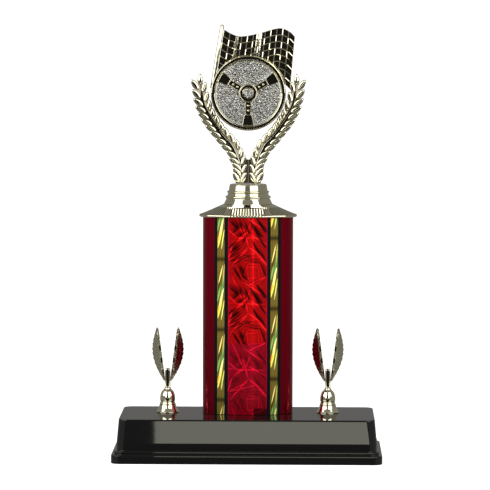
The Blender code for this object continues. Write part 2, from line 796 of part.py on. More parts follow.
def make_trim_body(trim, hand):
    """A narrow upright body with an arched head and a sunk panel in its front and its back."""
    bottom = BELL_HEIGHT + GAP
    half = TRIM_BODY_WIDTH / 2
    arch = 6
    outline = [(-half, bottom), (half, bottom)]
    spring = bottom + TRIM_BODY_HEIGHT - half
    for i in range(arch + 1):
        angle = math.pi * i / arch
        outline.append((half * math.cos(angle), spring + half * math.sin(angle)))
    bm = bmesh.new()
    front = bm.faces.new([bm.verts.new((x, -TRIM_BODY_DEPTH / 2, z)) for x, z in outline])
    moved = bmesh.ops.extrude_face_region(bm, geom=[front])
    bmesh.ops.translate(
        bm,
        vec=(0, TRIM_BODY_DEPTH, 0),
        verts=[piece for piece in moved["geom"] if isinstance(piece, bmesh.types.BMVert)],
    )
    bmesh.ops.recalc_face_normals(bm, faces=bm.faces)
    for face in [face for face in bm.faces if abs(face.normal.y) > 0.9]:
        bmesh.ops.inset_region(bm, faces=[face], thickness=1.2 * MM, use_even_offset=True)
        inward = -face.normal.copy()
        bmesh.ops.translate(bm, vec=inward * 1.2 * MM, verts=face.verts)
    add_object(f"{hand}_trim_body", to_mesh(f"{hand}_trim_body", bm), GOLD, trim)


def make_wing(trim, hand, which, side):
    """A swept blade with a thick leading edge; its outer edge is cut into feather tips."""
    root = BELL_HEIGHT + GAP + WING_ROOT
    near = TRIM_BODY_WIDTH / 2 + GAP
    beam = WING_BEAM
    thin = WING_THICKNESS / 2
    levels = 2 * FEATHERS
    rings = []
    for i in range(levels + 1):
        share = i / levels
        inner = near + (WING_SPREAD - near) * share**1.1
        swell = math.sin(math.pi * min(share, 0.999) ** 0.86)
        notch = 1 - 0.06 * (i % 2)
        blade = 2 * beam + WING_WIDTH * swell * notch
        outer = inner + blade
        back = blade * math.tan(WING_SWEEP)
        section = (
            (inner, -beam),
            (inner + beam, -1.6 * beam),
            (inner + 2 * beam, -beam),
            (outer + thin / 4, back - thin),
            (outer + thin / 4, back),
            (outer, back + thin / 2),
            (inner + 1.5 * beam, 1.4 * beam),
            (inner, 0.8 * beam),
        )
        rings.append([(side * x, y, root + share * WING_LENGTH) for x, y in section])
    loft(f"{hand}_trim_{which}_wing", rings, GOLD, trim)


def make_trim(hand, side):
    trim = group(f"{hand}_trim_turn", side * TRIM_SPACING / 2, SET_BACK, BASE_HEIGHT)
    make_bell(trim, hand)
    make_trim_body(trim, hand)
    make_wing(trim, hand, "outer", side)
    make_wing(trim, hand, "inner", -side)
    fixed = group(f"{hand}_trim_fixing", side * TRIM_SPACING / 2, SET_BACK, BASE_HEIGHT)
    washer_top = -BASE_WALL - GAP
    head_top = washer_top - MM - GAP
    washer = (SCREW_HEAD_RADIUS + 0.8 * MM, SCREW_RADIUS + FIT)
    ring_piece(f"{hand}_trim_washer", *washer, washer_top - MM, washer_top, STEEL, fixed)
    profile = [
        (0, SCREW_LENGTH - BASE_WALL - MM),
        (SCREW_RADIUS, SCREW_LENGTH - BASE_WALL - MM),
        (SCREW_RADIUS, head_top),
        (SCREW_HEAD_RADIUS, head_top),
        (SCREW_HEAD_RADIUS * 0.9, head_top - SCREW_HEAD_HEIGHT * 0.7),
        (SCREW_HEAD_RADIUS * 0.5, head_top - SCREW_HEAD_HEIGHT),
        (0, head_top - SCREW_HEAD_HEIGHT),
    ]
    turned(f"{hand}_trim_screw", profile, STEEL, fixed, 12)


def main():
    base = group("base_group", 0, 0, 0)
    column = group("column_group", 0, SET_BACK, BASE_HEIGHT)
    topper = group("topper_turn", 0, SET_BACK, BASE_HEIGHT + TOPPER_SEAT)
    make_base(base)
    make_rod(base)
    make_column(column)
    make_cap(column)
    make_pedestal(topper)
    make_laurel(topper, "left", -1)
    make_laurel(topper, "right", 1)
    make_wheel(topper)
    make_pole(topper)
    make_flag(topper)
    make_trim("left", -1)
    make_trim("right", 1)


main()
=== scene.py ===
import json
import math

import bmesh
import bpy
import numpy as np
from mathutils import Matrix, Vector

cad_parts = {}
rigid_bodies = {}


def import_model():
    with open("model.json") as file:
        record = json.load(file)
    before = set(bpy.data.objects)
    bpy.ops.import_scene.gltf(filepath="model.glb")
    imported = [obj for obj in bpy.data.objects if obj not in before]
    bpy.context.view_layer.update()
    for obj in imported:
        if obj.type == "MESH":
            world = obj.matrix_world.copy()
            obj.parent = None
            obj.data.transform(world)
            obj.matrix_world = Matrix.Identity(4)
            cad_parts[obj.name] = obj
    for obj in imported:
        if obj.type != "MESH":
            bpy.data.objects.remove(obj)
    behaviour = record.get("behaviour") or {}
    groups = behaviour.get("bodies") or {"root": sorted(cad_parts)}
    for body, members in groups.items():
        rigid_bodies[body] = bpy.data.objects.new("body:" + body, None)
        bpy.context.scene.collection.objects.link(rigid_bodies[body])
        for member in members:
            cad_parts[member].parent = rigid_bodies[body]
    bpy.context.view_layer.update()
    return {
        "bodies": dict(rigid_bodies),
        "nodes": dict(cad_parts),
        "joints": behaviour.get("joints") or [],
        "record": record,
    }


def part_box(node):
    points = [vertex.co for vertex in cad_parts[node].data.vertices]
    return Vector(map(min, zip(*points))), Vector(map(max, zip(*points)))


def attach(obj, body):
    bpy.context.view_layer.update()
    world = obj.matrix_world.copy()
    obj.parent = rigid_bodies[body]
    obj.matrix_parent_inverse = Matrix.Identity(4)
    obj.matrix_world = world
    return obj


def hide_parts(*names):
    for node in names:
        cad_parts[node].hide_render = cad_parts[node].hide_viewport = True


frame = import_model()

MM = 0.001
SHARP = math.radians(38)


# Shared helpers. Sizes are in millimetres until a mesh is made


def box(node):
    """A CAD node's lowest and highest corners in millimetres."""
    low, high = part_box(node)
    return np.array(low) / MM, np.array(high) / MM


def finished(name, bm, sharp=SHARP):
    """A mesh with its doubles merged and its faces turned outwards, smooth but for its sharp edges."""
    bmesh.ops.remove_doubles(bm, verts=bm.verts, dist=2e-6)
    bmesh.ops.recalc_face_normals(bm, faces=bm.faces)
    mesh = bpy.data.meshes.new(name)
    bm.to_mesh(mesh)
    bm.free()
    mesh.shade_smooth()
    mesh.set_sharp_from_angle(angle=sharp)
    return mesh


def skin(name, rings, caps=True, loop=False, sharp=SHARP):
    """A surface through rings of the same number of points, with its ends capped or joined in a loop."""
    rings = np.asarray(rings, float) * MM
    count, around = rings.shape[:2]
    bm = bmesh.new()
    verts = [bm.verts.new(point) for point in rings.reshape(-1, 3)]
    for i in range(count if loop else count - 1):
        here, there = i * around, (i + 1) % count * around
        for k in range(around):
            after = (k + 1) % around
            bm.faces.new([verts[here + k], verts[here + after], verts[there + after], verts[there + k]])
    if caps and not loop:
        bm.faces.new(verts[:around][::-1])
        bm.faces.new(verts[-around:])
    return finished(name, bm, sharp)


def eased(points, radius, steps=4, closed=False):
    """The outline with its corners rounded by up to this radius."""
    points = [Vector(point) for point in points]
    if closed:
        corners = [(points[i - 1], points[i], points[(i + 1) % len(points)]) for i in range(len(points))]
    else:
        corners = list(zip(points, points[1:], points[2:]))
    made = [] if closed else [points[0]]
    for before, corner, after in corners:
        reach = min(radius, (corner - before).length * 0.45, (after - corner).length * 0.45)
        start = corner + (before - corner).normalized() * reach
        end = corner + (after - corner).normalized() * reach
        made.append(start.lerp(before, 0.04))
        for i in range(steps + 1):
            t = i / steps
            made.append(start.lerp(corner, t).lerp(corner.lerp(end, t), t))
        made.append(end.lerp(after, 0.04))
    return made if closed else made + [points[-1]]


def turned(name, profile, place, axis="Z", steps=96, loop=False, sharp=SHARP):
    """A profile of (radius, height) turned about an upright axis, or about one that faces the front."""
    rings = []
    for radius, height in profile:
        angles = np.arange(steps) * 2 * math.pi / steps
        across, up = radius * np.cos(angles), radius * np.sin(angles)
        along = np.full(steps, float(height))
        ring = (across, up, along) if axis == "Z" else (across, along, up)
        rings.append(np.stack(ring, axis=1) + np.asarray(place, float))
    return skin(name, rings, caps=False, loop=loop, sharp=sharp)


def inset(outline, distance):
    """A closed outline of (x, z), anticlockwise, moved inwards by this distance."""
    points = np.asarray(outline, float)
    ahead = np.roll(points, -1, axis=0) - points
    ahead /= np.linalg.norm(ahead, axis=1)[:, None]
    behind = np.roll(ahead, 1, axis=0)
    normal = np.stack([-(ahead[:, 1] + behind[:, 1]), ahead[:, 0] + behind[:, 0]], axis=1)
    size = np.maximum((normal**2).sum(axis=1), 0.5)
    return points + 2 * distance * normal / size[:, None]


def add_piece(name, mesh, material, body, slot, *nodes):
    """Puts the mesh in the scene as a piece that moves with a body, and hides the CAD nodes it stands for."""
    made = bpy.data.objects.new(name, mesh)
    bpy.context.scene.collection.objects.link(made)
    mesh.materials.clear()
    mesh.materials.append(material)
    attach(made, body)
    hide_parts(*nodes)


# Node trees


class Tree:
    """Adds nodes to a tree. An input is a value, or another node's output to link from."""

    def __init__(self, tree):
        self.tree = tree

    def add(self, kind, inputs=None, **settings):
        node = self.tree.nodes.new(kind)
        for setting, value in settings.items():
            setattr(node, setting, value)
        for key, value in (inputs or {}).items():
            self.feed(node.inputs[key], value)
        return node

    def feed(self, socket, value):
        if isinstance(value, bpy.types.NodeSocket):
            self.tree.links.new(value, socket)
        else:
            socket.default_value = value

    def math(self, operation, *values):
        node = self.add("ShaderNodeMath", dict(enumerate(values)), operation=operation)
        return node.outputs[0]

    def ramp(self, factor, stops):
        node = self.add("ShaderNodeValToRGB", {0: factor})
        elements = node.color_ramp.elements
        while len(elements) < len(stops):
            elements.new(1.0)
        for element, (place, colour) in zip(elements, stops):
            element.position = place
            element.color = (*colour, 1)
        return node.outputs[0]

    def spread(self, factor, low, high):
        """A 0 to 1 value spread from low to high."""
        node = self.add("ShaderNodeMapRange", {"Value": factor, "To Min": low, "To Max": high})
        return node.outputs[0]


def new_material(name, colour, metallic, roughness):
    """A Principled material. It returns the material, its tree and its shader."""
    made = bpy.data.materials.new(name)
    made.use_nodes = True
    shader = made.node_tree.nodes["Principled BSDF"]
    shader.inputs["Base Color"].default_value = (*colour, 1)
    shader.inputs["Metallic"].default_value = metallic
    shader.inputs["Roughness"].default_value = roughness
    return made, Tree(made.node_tree), shader


def noise(tree, scale, detail=2.0, stretch=None):
    """Noise on the piece's own coordinates, with this many bumps to the metre."""
    place = tree.add("ShaderNodeTexCoord").outputs["Object"]
    if stretch:
        place = tree.add("ShaderNodeMapping", {"Vector": place, "Scale": stretch}).outputs[0]
    return tree.add("ShaderNodeTexNoise", {"Vector": place, "Scale": scale, "Detail": detail}).outputs[0]


def bump(tree, shader, height, depth):
    """Stands the height out of the surface by up to this depth in millimetres."""
    node = tree.add("ShaderNodeBump", {"Height": height, "Distance": depth * MM, "Strength": 1.0})
    tree.feed(shader.inputs["Normal"], node.outputs[0])


def metallised(name, colour, low, high, ripple, lined=False):
    """Vacuum-metallised plastic: a mirror with faint flow marks. With painted shade, it is painted darker
    where the mesh's shade attribute is high: painted shade and painted dark reflections.
    """
    made, tree, shader = new_material(name, colour, 1.0, low)
    haze = noise(tree, 140, 4.0)
    tree.feed(shader.inputs["Roughness"], tree.spread(haze, low, high))
    tint = tree.ramp(noise(tree, 60, 3.0), [(0.35, [c * 0.93 for c in colour]), (0.65, colour)])
    if lined:
        # Painted shade: the shade attribute mixes the colour towards a dark brown.
        shade = tree.add("ShaderNodeAttribute", attribute_name="shade").outputs["Fac"]
        tint = tree.add("ShaderNodeMixRGB", {0: shade, 1: tint, 2: (0.05, 0.035, 0.022, 1)}).outputs[0]
    tree.feed(shader.inputs["Base Color"], tint)
    bump(tree, shader, noise(tree, 420, 2.0), ripple)
    return made


GOLD_COLOUR = (0.86, 0.82, 0.60)


def make_materials():
    looks = {}
    looks["gold"] = metallised("champagne_metallised", GOLD_COLOUR, 0.02, 0.06, 0.012)
    looks["lined"] = metallised("champagne_with_painted_shade", GOLD_COLOUR, 0.03, 0.08, 0.012, True)
    looks["wheel"] = metallised("champagne_wheel", (0.80, 0.76, 0.57), 0.012, 0.035, 0.004)
    looks["pebble"] = metallised("pebbled_silver", (0.74, 0.74, 0.69), 0.2, 0.32, 0.03, True)
    looks["steel"] = metallised("zinc_plated_steel", (0.62, 0.63, 0.64), 0.22, 0.4, 0.02)

    made, tree, shader = new_material("gloss_black_plastic", (0.006, 0.006, 0.006), 0.0, 0.045)
    shader.inputs["IOR"].default_value = 1.52
    tree.feed(shader.inputs["Roughness"], tree.spread(noise(tree, 90, 5.0), 0.015, 0.03))
    bump(tree, shader, noise(tree, 30, 2.0, (1, 1, 2)), 0.012)
    looks["black"] = made

    made, tree, shader = new_material("red_metallised_film", (0.24, 0.0, 0.008), 0.85, 0.14)
    tint = tree.ramp(noise(tree, 30, 2.0, (1, 1, 0.2)), [(0.3, (0.2, 0, 0.008)), (0.7, (0.28, 0, 0.013))])
    tree.feed(shader.inputs["Base Color"], tint)
    tree.feed(shader.inputs["Roughness"], tree.spread(noise(tree, 160, 4.0), 0.10, 0.2))
    bump(tree, shader, noise(tree, 60, 2.0, (1, 1, 0.15)), 0.03)
    looks["red"] = made

    for name, rough in (("crystal_foil", 0.24), ("streak_foil", 0.2)):
        made, tree, shader = new_material(name, (0.5, 0, 0), 0.0, rough)
        shader.inputs["Specular IOR Level"].default_value = 0.06
        shader.inputs["Coat Weight"].default_value = 0.07
        shader.inputs["Coat Roughness"].default_value = 0.05
        colour = tree.add("ShaderNodeAttribute", attribute_name="foil").outputs["Color"]
        tree.feed(shader.inputs["Base Color"], colour)
        tree.feed(shader.inputs["Roughness"], tree.spread(noise(tree, 300, 3.0), rough - 0.05, rough + 0.1))
        looks[name] = made

    made, tree, shader = new_material("pressed_board", (0.2, 0.11, 0.05), 0.0, 0.8)
    fibre = noise(tree, 900, 6.0, (1, 1, 0.3))
    stops = [(0.3, (0.13, 0.07, 0.03)), (0.7, (0.27, 0.16, 0.08))]
    tree.feed(shader.inputs["Base Color"], tree.ramp(fibre, stops))
    bump(tree, shader, fibre, 0.1)
    looks["board"] = made

    made, tree, shader = new_material("cast_weight", (0.12, 0.12, 0.12), 0.0, 0.7)
    grit = noise(tree, 700, 5.0)
    stops = [(0.3, (0.07, 0.07, 0.07)), (0.7, (0.17, 0.16, 0.15))]
    tree.feed(shader.inputs["Base Color"], tree.ramp(grit, stops))
    bump(tree, shader, grit, 0.2)
    looks["cast"] = made
    return looks


# Geometry Nodes


class Shape(Tree):
    """A Geometry Nodes tree with named inputs for its sizes, which turns a plain mesh into a piece's."""

    def __init__(self, name, **inputs):
        super().__init__(bpy.data.node_groups.new(name, "GeometryNodeTree"))
        face = self.tree.interface
        face.new_socket("Geometry", in_out="INPUT", socket_type="NodeSocketGeometry")
        face.new_socket("Geometry", in_out="OUTPUT", socket_type="NodeSocketGeometry")
        self.values = {}
        for label, value in inputs.items():
            kind = "NodeSocketObject" if isinstance(value, bpy.types.Object) else "NodeSocketFloat"
            socket = face.new_socket(label, in_out="INPUT", socket_type=kind)
            self.values[socket.identifier] = value
        self.given = self.add("NodeGroupInput").outputs

    def read(self, name, kind="FLOAT"):
        node = self.add("GeometryNodeInputNamedAttribute", data_type=kind)
        node.inputs["Name"].default_value = name
        return node.outputs["Attribute"]

    def lift(self, geometry, height):
        """Moves each point along its normal by this height in millimetres."""
        normal = self.add("GeometryNodeInputNormal").outputs[0]
        scale = self.math("MULTIPLY", height, MM)
        offset = self.add("ShaderNodeVectorMath", {0: normal, "Scale": scale}, operation="SCALE").outputs[0]
        return self.add("GeometryNodeSetPosition", {"Geometry": geometry, "Offset": offset}).outputs[0]

    def made(self, name, mesh, geometry, material, sharp=SHARP):
        """Ends the tree, runs it on the mesh and returns the result as a plain mesh."""
        real = self.add("GeometryNodeRealizeInstances", {0: geometry}).outputs[0]
        done = self.add("GeometryNodeSetMaterial", {"Geometry": real, "Material": material}).outputs[0]
        self.tree.links.new(done, self.add("NodeGroupOutput").inputs[0])
        holder = bpy.data.objects.new(name + "_start", mesh)
        bpy.context.scene.collection.objects.link(holder)
        modifier = holder.modifiers.new(name, "NODES")
        modifier.node_group = self.tree
        for identifier, value in self.values.items():
            modifier[identifier] = value
        graph = bpy.context.evaluated_depsgraph_get()
        result = bpy.data.meshes.new_from_object(holder.evaluated_get(graph))
        holder.modifiers.remove(modifier)
        bpy.data.objects.remove(holder)
        result.shade_smooth()
        result.set_sharp_from_angle(angle=sharp)
        return result


def mark(mesh, name, values, kind="FLOAT"):
    """Stores a value for each point of the mesh."""
    values = np.asarray(values, np.float32)
    attribute = mesh.attributes.new(name, kind, "POINT")
    attribute.data.foreach_set("vector" if kind == "FLOAT_VECTOR" else "value", values.ravel())


# Base


BASE_CORNER = 7.0
FOOT_LEDGE = 2.3
STEP_LEDGE = 2.0
DRAFT = 1.7
BASE_WALL = 2.5
BOARD_RECESS = 3.5
ROD_HOLE = 3.5
SCREW_HOLE = 2.1
BASE_SHARP = math.radians(50)


def rounded_rectangle(half_x, half_y, corner, z, steps=10):
    """A level outline, with a point beside each corner that keeps the shading of the faces flat."""
    points = []
    for quarter, (side_x, side_y) in enumerate(((1, 1), (-1, 1), (-1, -1), (1, -1))):
        middle = (side_x * (half_x - corner), side_y * (half_y - corner))
        arc = []
        for i in range(steps + 1):
            angle = math.pi / 2 * (quarter + i / steps)
            x, y = middle[0] + corner * math.cos(angle), middle[1] + corner * math.sin(angle)
            arc.append(np.array((x, y, z)))
        before = np.array((0, -side_y, 0) if quarter % 2 == 0 else (-side_x, 0, 0))
        after = np.array((-side_x, 0, 0) if quarter % 2 == 0 else (0, -side_y, 0))
        points += [arc[0] + 0.4 * before, *arc, arc[-1] + 0.4 * after]
    return points


def make_base(looks):
    low, high = box("base_shell")
    half_x, half_y = (high[0] - low[0]) / 2, (high[1] - low[1]) / 2
    foot_top, step_top, band_top, top = 6.0, 9.2, 15.7, high[2]
    step = FOOT_LEDGE
    band = step + STEP_LEDGE
    face = band + DRAFT
    outside = [(0, 0), (0, foot_top - 0.4), (0.13, foot_top + 0.9), (step, foot_top + 1.0)]
    outside += [(step, step_top - 0.7), (step + 0.12, step_top + 0.5), (band, step_top + 0.6)]
    outside += [(band, band_top), (face, top), (face + 6, top)]
    inside = [(face + BASE_WALL, top - BASE_WALL), (band + BASE_WALL, band_top)]
    inside += [(band + BASE_WALL, BOARD_RECESS), (BASE_WALL, BOARD_RECESS), (BASE_WALL, 0)]
    profile = eased([inside[-1], *outside], 0.5, 4)[1:]
    rings = [rounded_rectangle(half_x - d, half_y - d, BASE_CORNER, z) for d, z in profile]
    hollow = [rounded_rectangle(half_x - d, half_y - d, BASE_CORNER - 2, z) for d, z in inside]
    mesh = skin("base", [*hollow, *rings], sharp=BASE_SHARP)
    base = bpy.data.objects.new("base_cut", mesh)
    bpy.context.scene.collection.objects.link(base)
    centre = sum(box("tie_rod")) / 2
    holes = [(centre[0], ROD_HOLE)]
    holes += [((sum(box(f"{hand}_trim_screw")) / 2)[0], SCREW_HOLE) for hand in HANDS]
    cutters = []
    for x, radius in holes:
        bm = bmesh.new()
        place = Matrix.Translation(Vector((x, centre[1], top)) * MM)
        size = {"radius1": radius * MM, "radius2": radius * MM, "depth": 9 * MM}
        bmesh.ops.create_cone(bm, cap_ends=True, segments=32, matrix=place, **size)
        cutter = bpy.data.objects.new("hole", finished("hole", bm))
        bpy.context.scene.collection.objects.link(cutter)
        cut = base.modifiers.new("hole", "BOOLEAN")
        cut.object = cutter
        cut.solver = "EXACT"
        cutters.append(cutter)
    graph = bpy.context.evaluated_depsgraph_get()
    result = bpy.data.meshes.new_from_object(base.evaluated_get(graph))
    for helper in (base, *cutters):
        bpy.data.objects.remove(helper)
    result.name = "base_moulding"
    result.shade_smooth()
    result.set_sharp_from_angle(angle=BASE_SHARP)
    add_piece("base_moulding", result, looks["black"], "trophy", "base_plastic", "base_shell")


# Column


END_RADIUS = 15.6
HANDS = {"left": -1, "right": 1}


class Oval:
    """Four arcs that meet smoothly: two long ones, front and rear, and two tight ones at the ends."""

    def __init__(self, half_x, half_y, end):
        self.half_x, self.half_y, self.end = half_x, half_y, end
        run = half_x - end
        self.long = ((run**2 + half_y**2 - end**2) / (2 * (half_y - end))) if half_y > end else 1e6
        self.turn = math.asin(run / (self.long - end))

    def point(self, angle, grow=0.0):
        """The point whose normal turns this far from the front, on the right, with (x, y) from the middle."""
        if angle <= self.turn:
            reach = self.long + grow
            return reach * math.sin(angle), self.long - self.half_y - reach * math.cos(angle)
        reach = self.end + grow
        return self.half_x - self.end + reach * math.sin(angle), -reach * math.cos(angle)

    def ring(self, z, middle_y, grow=0.0, long_steps=24, end_steps=20):
        """Points round the whole oval, anticlockwise seen from above, from the middle of the front."""
        angles = [self.turn * i / long_steps for i in range(long_steps)]
        angles += [self.turn + (math.pi / 2 - self.turn) * i / end_steps for i in range(end_steps)]
        front = [self.point(angle, grow) for angle in angles]
        right = [*front, self.point(math.pi / 2, grow), *((x, -y) for x, y in reversed(front))]
        left = [(-x, y) for x, y in reversed(right[1:-1])]
        return [(x, middle_y + y, z) for x, y in right + left]


def column_oval():
    """The column's oval, as far out as its foils."""
    low, high = box("column_wrap")
    half_x = (high[0] - low[0]) / 2
    half_y = (high[1] - low[1]) / 2
    return Oval(half_x, half_y, END_RADIUS - 0.6), (low[1] + high[1]) / 2, low[2], high[2]


def lens(x, z, start, end, width):
    """How deep each point lies in a lens from start to end: 1 along its middle line and 0 outside."""
    run = np.subtract(end, start)
    length = math.hypot(*run)
    along = ((x - start[0]) * run[0] + (z - start[1]) * run[1]) / length**2
    beside = np.abs((x - start[0]) * run[1] - (z - start[1]) * run[0]) / length
    half = width / 2 * np.sin(math.pi * np.clip(along, 0, 1)) ** 0.7
    return np.clip(1 - beside / np.maximum(half, 1e-6), 0, 1) * (along > 0) * (along < 1)


def foil_mesh(name, oval, middle_y, low, high, z_low, z_high, facing, columns, rows, paint):
    """A strip of foil on the column's face between two distances from its middle, with a painted colour."""
    across = np.linspace(low, high, columns)
    heights = np.linspace(z_low, z_high, rows)
    angles = across / oval.long
    front, back = [], []
    for grow, made in ((0.6, front), (0.3, back)):
        reach = oval.long + grow
        made.append(reach * np.sin(angles))
        made.append(middle_y + facing * (oval.long - oval.half_y - reach * np.cos(angles)))
    rings = []
    for side in (front, back):
        x = np.tile(side[0], (rows, 1))
        y = np.tile(side[1], (rows, 1))
        z = np.tile(heights[:, None], (1, columns))
        rings.append(np.stack([x, y, z], axis=2))
    verts = np.concatenate([rings[0].reshape(-1, 3), rings[1].reshape(-1, 3)]) * MM
    size = rows * columns
    faces = []
    for i in range(rows - 1):
        for k in range(columns - 1):
            a = i * columns + k
            quad = (a, a + 1, a + columns + 1, a + columns)
            faces.append(quad if facing > 0 else quad[::-1])
    edge = list(range(columns))
    edge += [i * columns + columns - 1 for i in range(1, rows)]
    edge += [(rows - 1) * columns + k for k in range(columns - 2, -1, -1)]
    edge += [i * columns for i in range(rows - 2, 0, -1)]
    for a, b in zip(edge, edge[1:] + edge[:1]):
        quad = (b, a, a + size, b + size)
        faces.append(quad if facing > 0 else quad[::-1])
    rear = [vertex + size for vertex in edge]
    faces.append(rear[::-1] if facing > 0 else rear)
    mesh = bpy.data.meshes.new(name)
    used = np.unique(np.concatenate([np.arange(size), np.array(rear)]))
    index = np.full(2 * size, -1)
    index[used] = np.arange(len(used))
    mesh.from_pydata(verts[used], [], [[int(index[v]) for v in face] for face in faces])
    colours = paint(*np.meshgrid(across, heights - z_low))
    colours = np.concatenate([colours.reshape(-1, 3), colours.reshape(-1, 3)])[used]
    attribute = mesh.color_attributes.new("foil", "FLOAT_COLOR", "POINT")
    attribute.data.foreach_set("color", np.c_[colours, np.ones(len(colours))].astype(np.float32).ravel())
    mesh.shade_smooth()
    mesh.set_sharp_from_angle(angle=SHARP)
    return mesh


FOIL_REPEAT = 53.3  # Both foils repeat their pattern this far up the column


ROSETTE = (4.6, 27.0)
STAR = (0.7, 47.5)
# Bright creases from the star: start across and up, end across and up, and width
CREASES = (
    ((-4.5, 17), (0, 0), 1.3),
    ((-13.5, 30), (-2.5, 6), 1.1),
    ((-16.1, 13.7), (-8.9, 7.1), 1.0),
    ((-8.9, 7.1), (-2.6, 6.5), 1.1),
    ((-16.5, -10.7), (-13, 1.2), 1.0),
    ((-13, 1.2), (-4.5, 8), 1.2),
    ((-16, -10.7), (0, -2), 1.0),
    ((0, 0), (-14.5, -16.9), 1.2),
    ((-4, 25), (13.7, 13), 0.9),
    ((0, 0), (9.9, -7.4), 1.2),
    ((9, -6.6), (15, -14.5), 0.9),
    ((-15.5, -10.6), (6.3, -5), 1.4),
    ((-0.8, 11), (14.8, 2), 0.9),
    ((-1.4, -31.4), (14.5, -23.8), 1.3),
    ((-16, 8), (15, 6.9), 0.8),
    ((6, -5), (14.5, -15), 1.0),
    ((-2.5, 6.5), (1.5, 19), 0.8),
)
# Dark folds, placed in the same way
FOLDS = (
    ((-15, -2), (-8, 4.5), 2.4),
    ((-15.5, -6.5), (-6, 1.2), 2.7),
    ((-14.5, -10.4), (-4, -4.2), 2.5),
    ((-13.5, -14), (-2, -7.6), 2.2),
    ((-8, -7.6), (3.5, -5.8), 1.7),
    ((-13, 11), (-5, 18.5), 2.2),
    ((-10, 7.4), (-2, 13.5), 2.1),
    ((-5.5, 3), (-1, 10.5), 1.7),
    ((4.5, 18.5), (12, 7.5), 2.4),
    ((6.5, 10.5), (14.5, -1.5), 2.4),
    ((2.5, 5.5), (9, -6), 2.0),
    ((9, 21), (15.5, 12), 2.0),
    ((8, -1.6), (14.5, -12.5), 2.0),
    ((-8, -13.5), (-3, -26.5), 2.0),
    ((-5, -15.5), (-1, -27.5), 1.6),
    ((-12.5, -16), (-5.5, -27.5), 1.8),
    ((11, -12.5), (14.5, -24.5), 2.0),
    ((10, -25.5), (1.5, -29.8), 2.0),
    ((-15, -30.5), (-7.5, -38.5), 2.6),
    ((-10, -30.5), (-3.5, -40.5), 2.2),
    ((1.5, -32.5), (8, -43.5), 2.4),
    ((7, -31.5), (13.5, -42.5), 2.2),
    ((-2.5, -33.5), (2, -44.5), 1.9),
    ((-2, -9.6), (8.5, -12.2), 1.5),
)


def repeated(x, local, start, end, width):
    """A lens that also shows where the pattern starts again above and below."""
    start, end = np.add(STAR, start), np.add(STAR, end)
    return sum(lens(x, local + shift, start, end, width) for shift in (-FOIL_REPEAT, 0, FOIL_REPEAT))


def crystal_paint(x, z):
    """Crushed-crystal foil: creases that spread from a star, dark folds beside them and a rosette, with a
    painted highlight in a vertical band right of the middle.
    """
    shape = x.shape
    x, z = x.ravel(), z.ravel()
    local = np.mod(z + 18.4, FOIL_REPEAT)
    low = np.clip((59 - z) / 3, 0, 1)
    rng = np.random.default_rng(23)
    dark = np.zeros(len(x))
    for start, end, width in FOLDS:
        for k in range(3):
            nudge = rng.normal(0, 0.8, 2) + np.array((0.9, -0.9)) * (k - 1)
            a, b = np.add(start, nudge), np.add(end, nudge * 0.6)
            fold = repeated(x, local, a, b, width * rng.uniform(0.6, 1.1)) ** 0.8
            dark += (0.78 - 0.14 * abs(k - 1)) * fold
    bright = np.zeros(len(x))
    for start, end, width in CREASES:
        bright = np.maximum(bright, repeated(x, local, start, end, width) ** 0.7)
        bright += 0.10 * repeated(x, local, start, end, width * 5)
    for _ in range(18):
        start = (rng.uniform(-16, 16), rng.uniform(-30, 24))
        turn = math.radians(rng.choice((28, 62, 118, 146, 332)) + rng.normal(0, 8))
        end = np.add(start, np.array((math.cos(turn), math.sin(turn))) * rng.uniform(6, 16))
        bright += 0.25 * repeated(x, local, start, end, 0.8)
        dark += 0.12 * repeated(x, local, np.add(start, (0.8, -0.5)), np.add(end, (0.8, -0.5)), 1.2)
    nested = np.zeros(len(x))
    for level, (reach, turned_by) in enumerate(((4.4, 4), (6.4, 11), (8.8, 22), (11.6, 36))):
        sides = []
        count = 4 + (level + 1) // 2
        for k in range(count):
            turn = math.radians(turned_by) + 2 * math.pi * k / count
            sides.append(np.cos(turn) * (x - ROSETTE[0]) + np.sin(turn) * (local - ROSETTE[1]))
        edge = np.max(sides, axis=0) - reach
        if level < 2:
            dark *= np.where(edge < 0, 0.15, 1)
            bright *= np.where(edge < 0, 0.3, 1)
        nested += (0.34 - 0.08 * level) * np.clip(1 - np.abs(edge) / 0.45, 0, 1)
        dark += (0.30 - 0.04 * level) * np.clip(1 - np.abs(edge + 0.9) / 0.6, 0, 1)
    tone = 0.60 - 0.62 * np.clip(dark, 0, 1) * (1 - 0.72 * low) + 0.5 * bright + nested
    # Painted highlight: a narrow bright line high up and a broad faint band, just right of the middle.
    tone += 0.26 * np.exp(-(((x - 4.4) / 0.5) ** 2)) * (z > 84) + 0.12 * np.exp(-(((x - 4.2) / 2.4) ** 2))
    tone = np.clip(tone - 0.12 * low, 0, 1.3)
    red = np.interp(tone, [0, 0.3, 0.6, 0.9, 1.3], [0.012, 0.07, 0.25, 0.62, 1.0])
    pale = np.clip(tone - 0.95, 0, 0.35) * 0.12
    edge = np.clip((np.abs(x) - 15.0) / 0.5, 0, 1)
    foot = (z < 5) * (x > 5) * 0.8
    red = (red + 0.12 * edge) * (1 - foot)
    blue = red * (0.003 + 0.03 * low) + pale * 0.7 + 0.03 * edge
    return np.stack([red, 0.001 * red + pale * 0.5, blue], axis=1).reshape(*shape, 3)


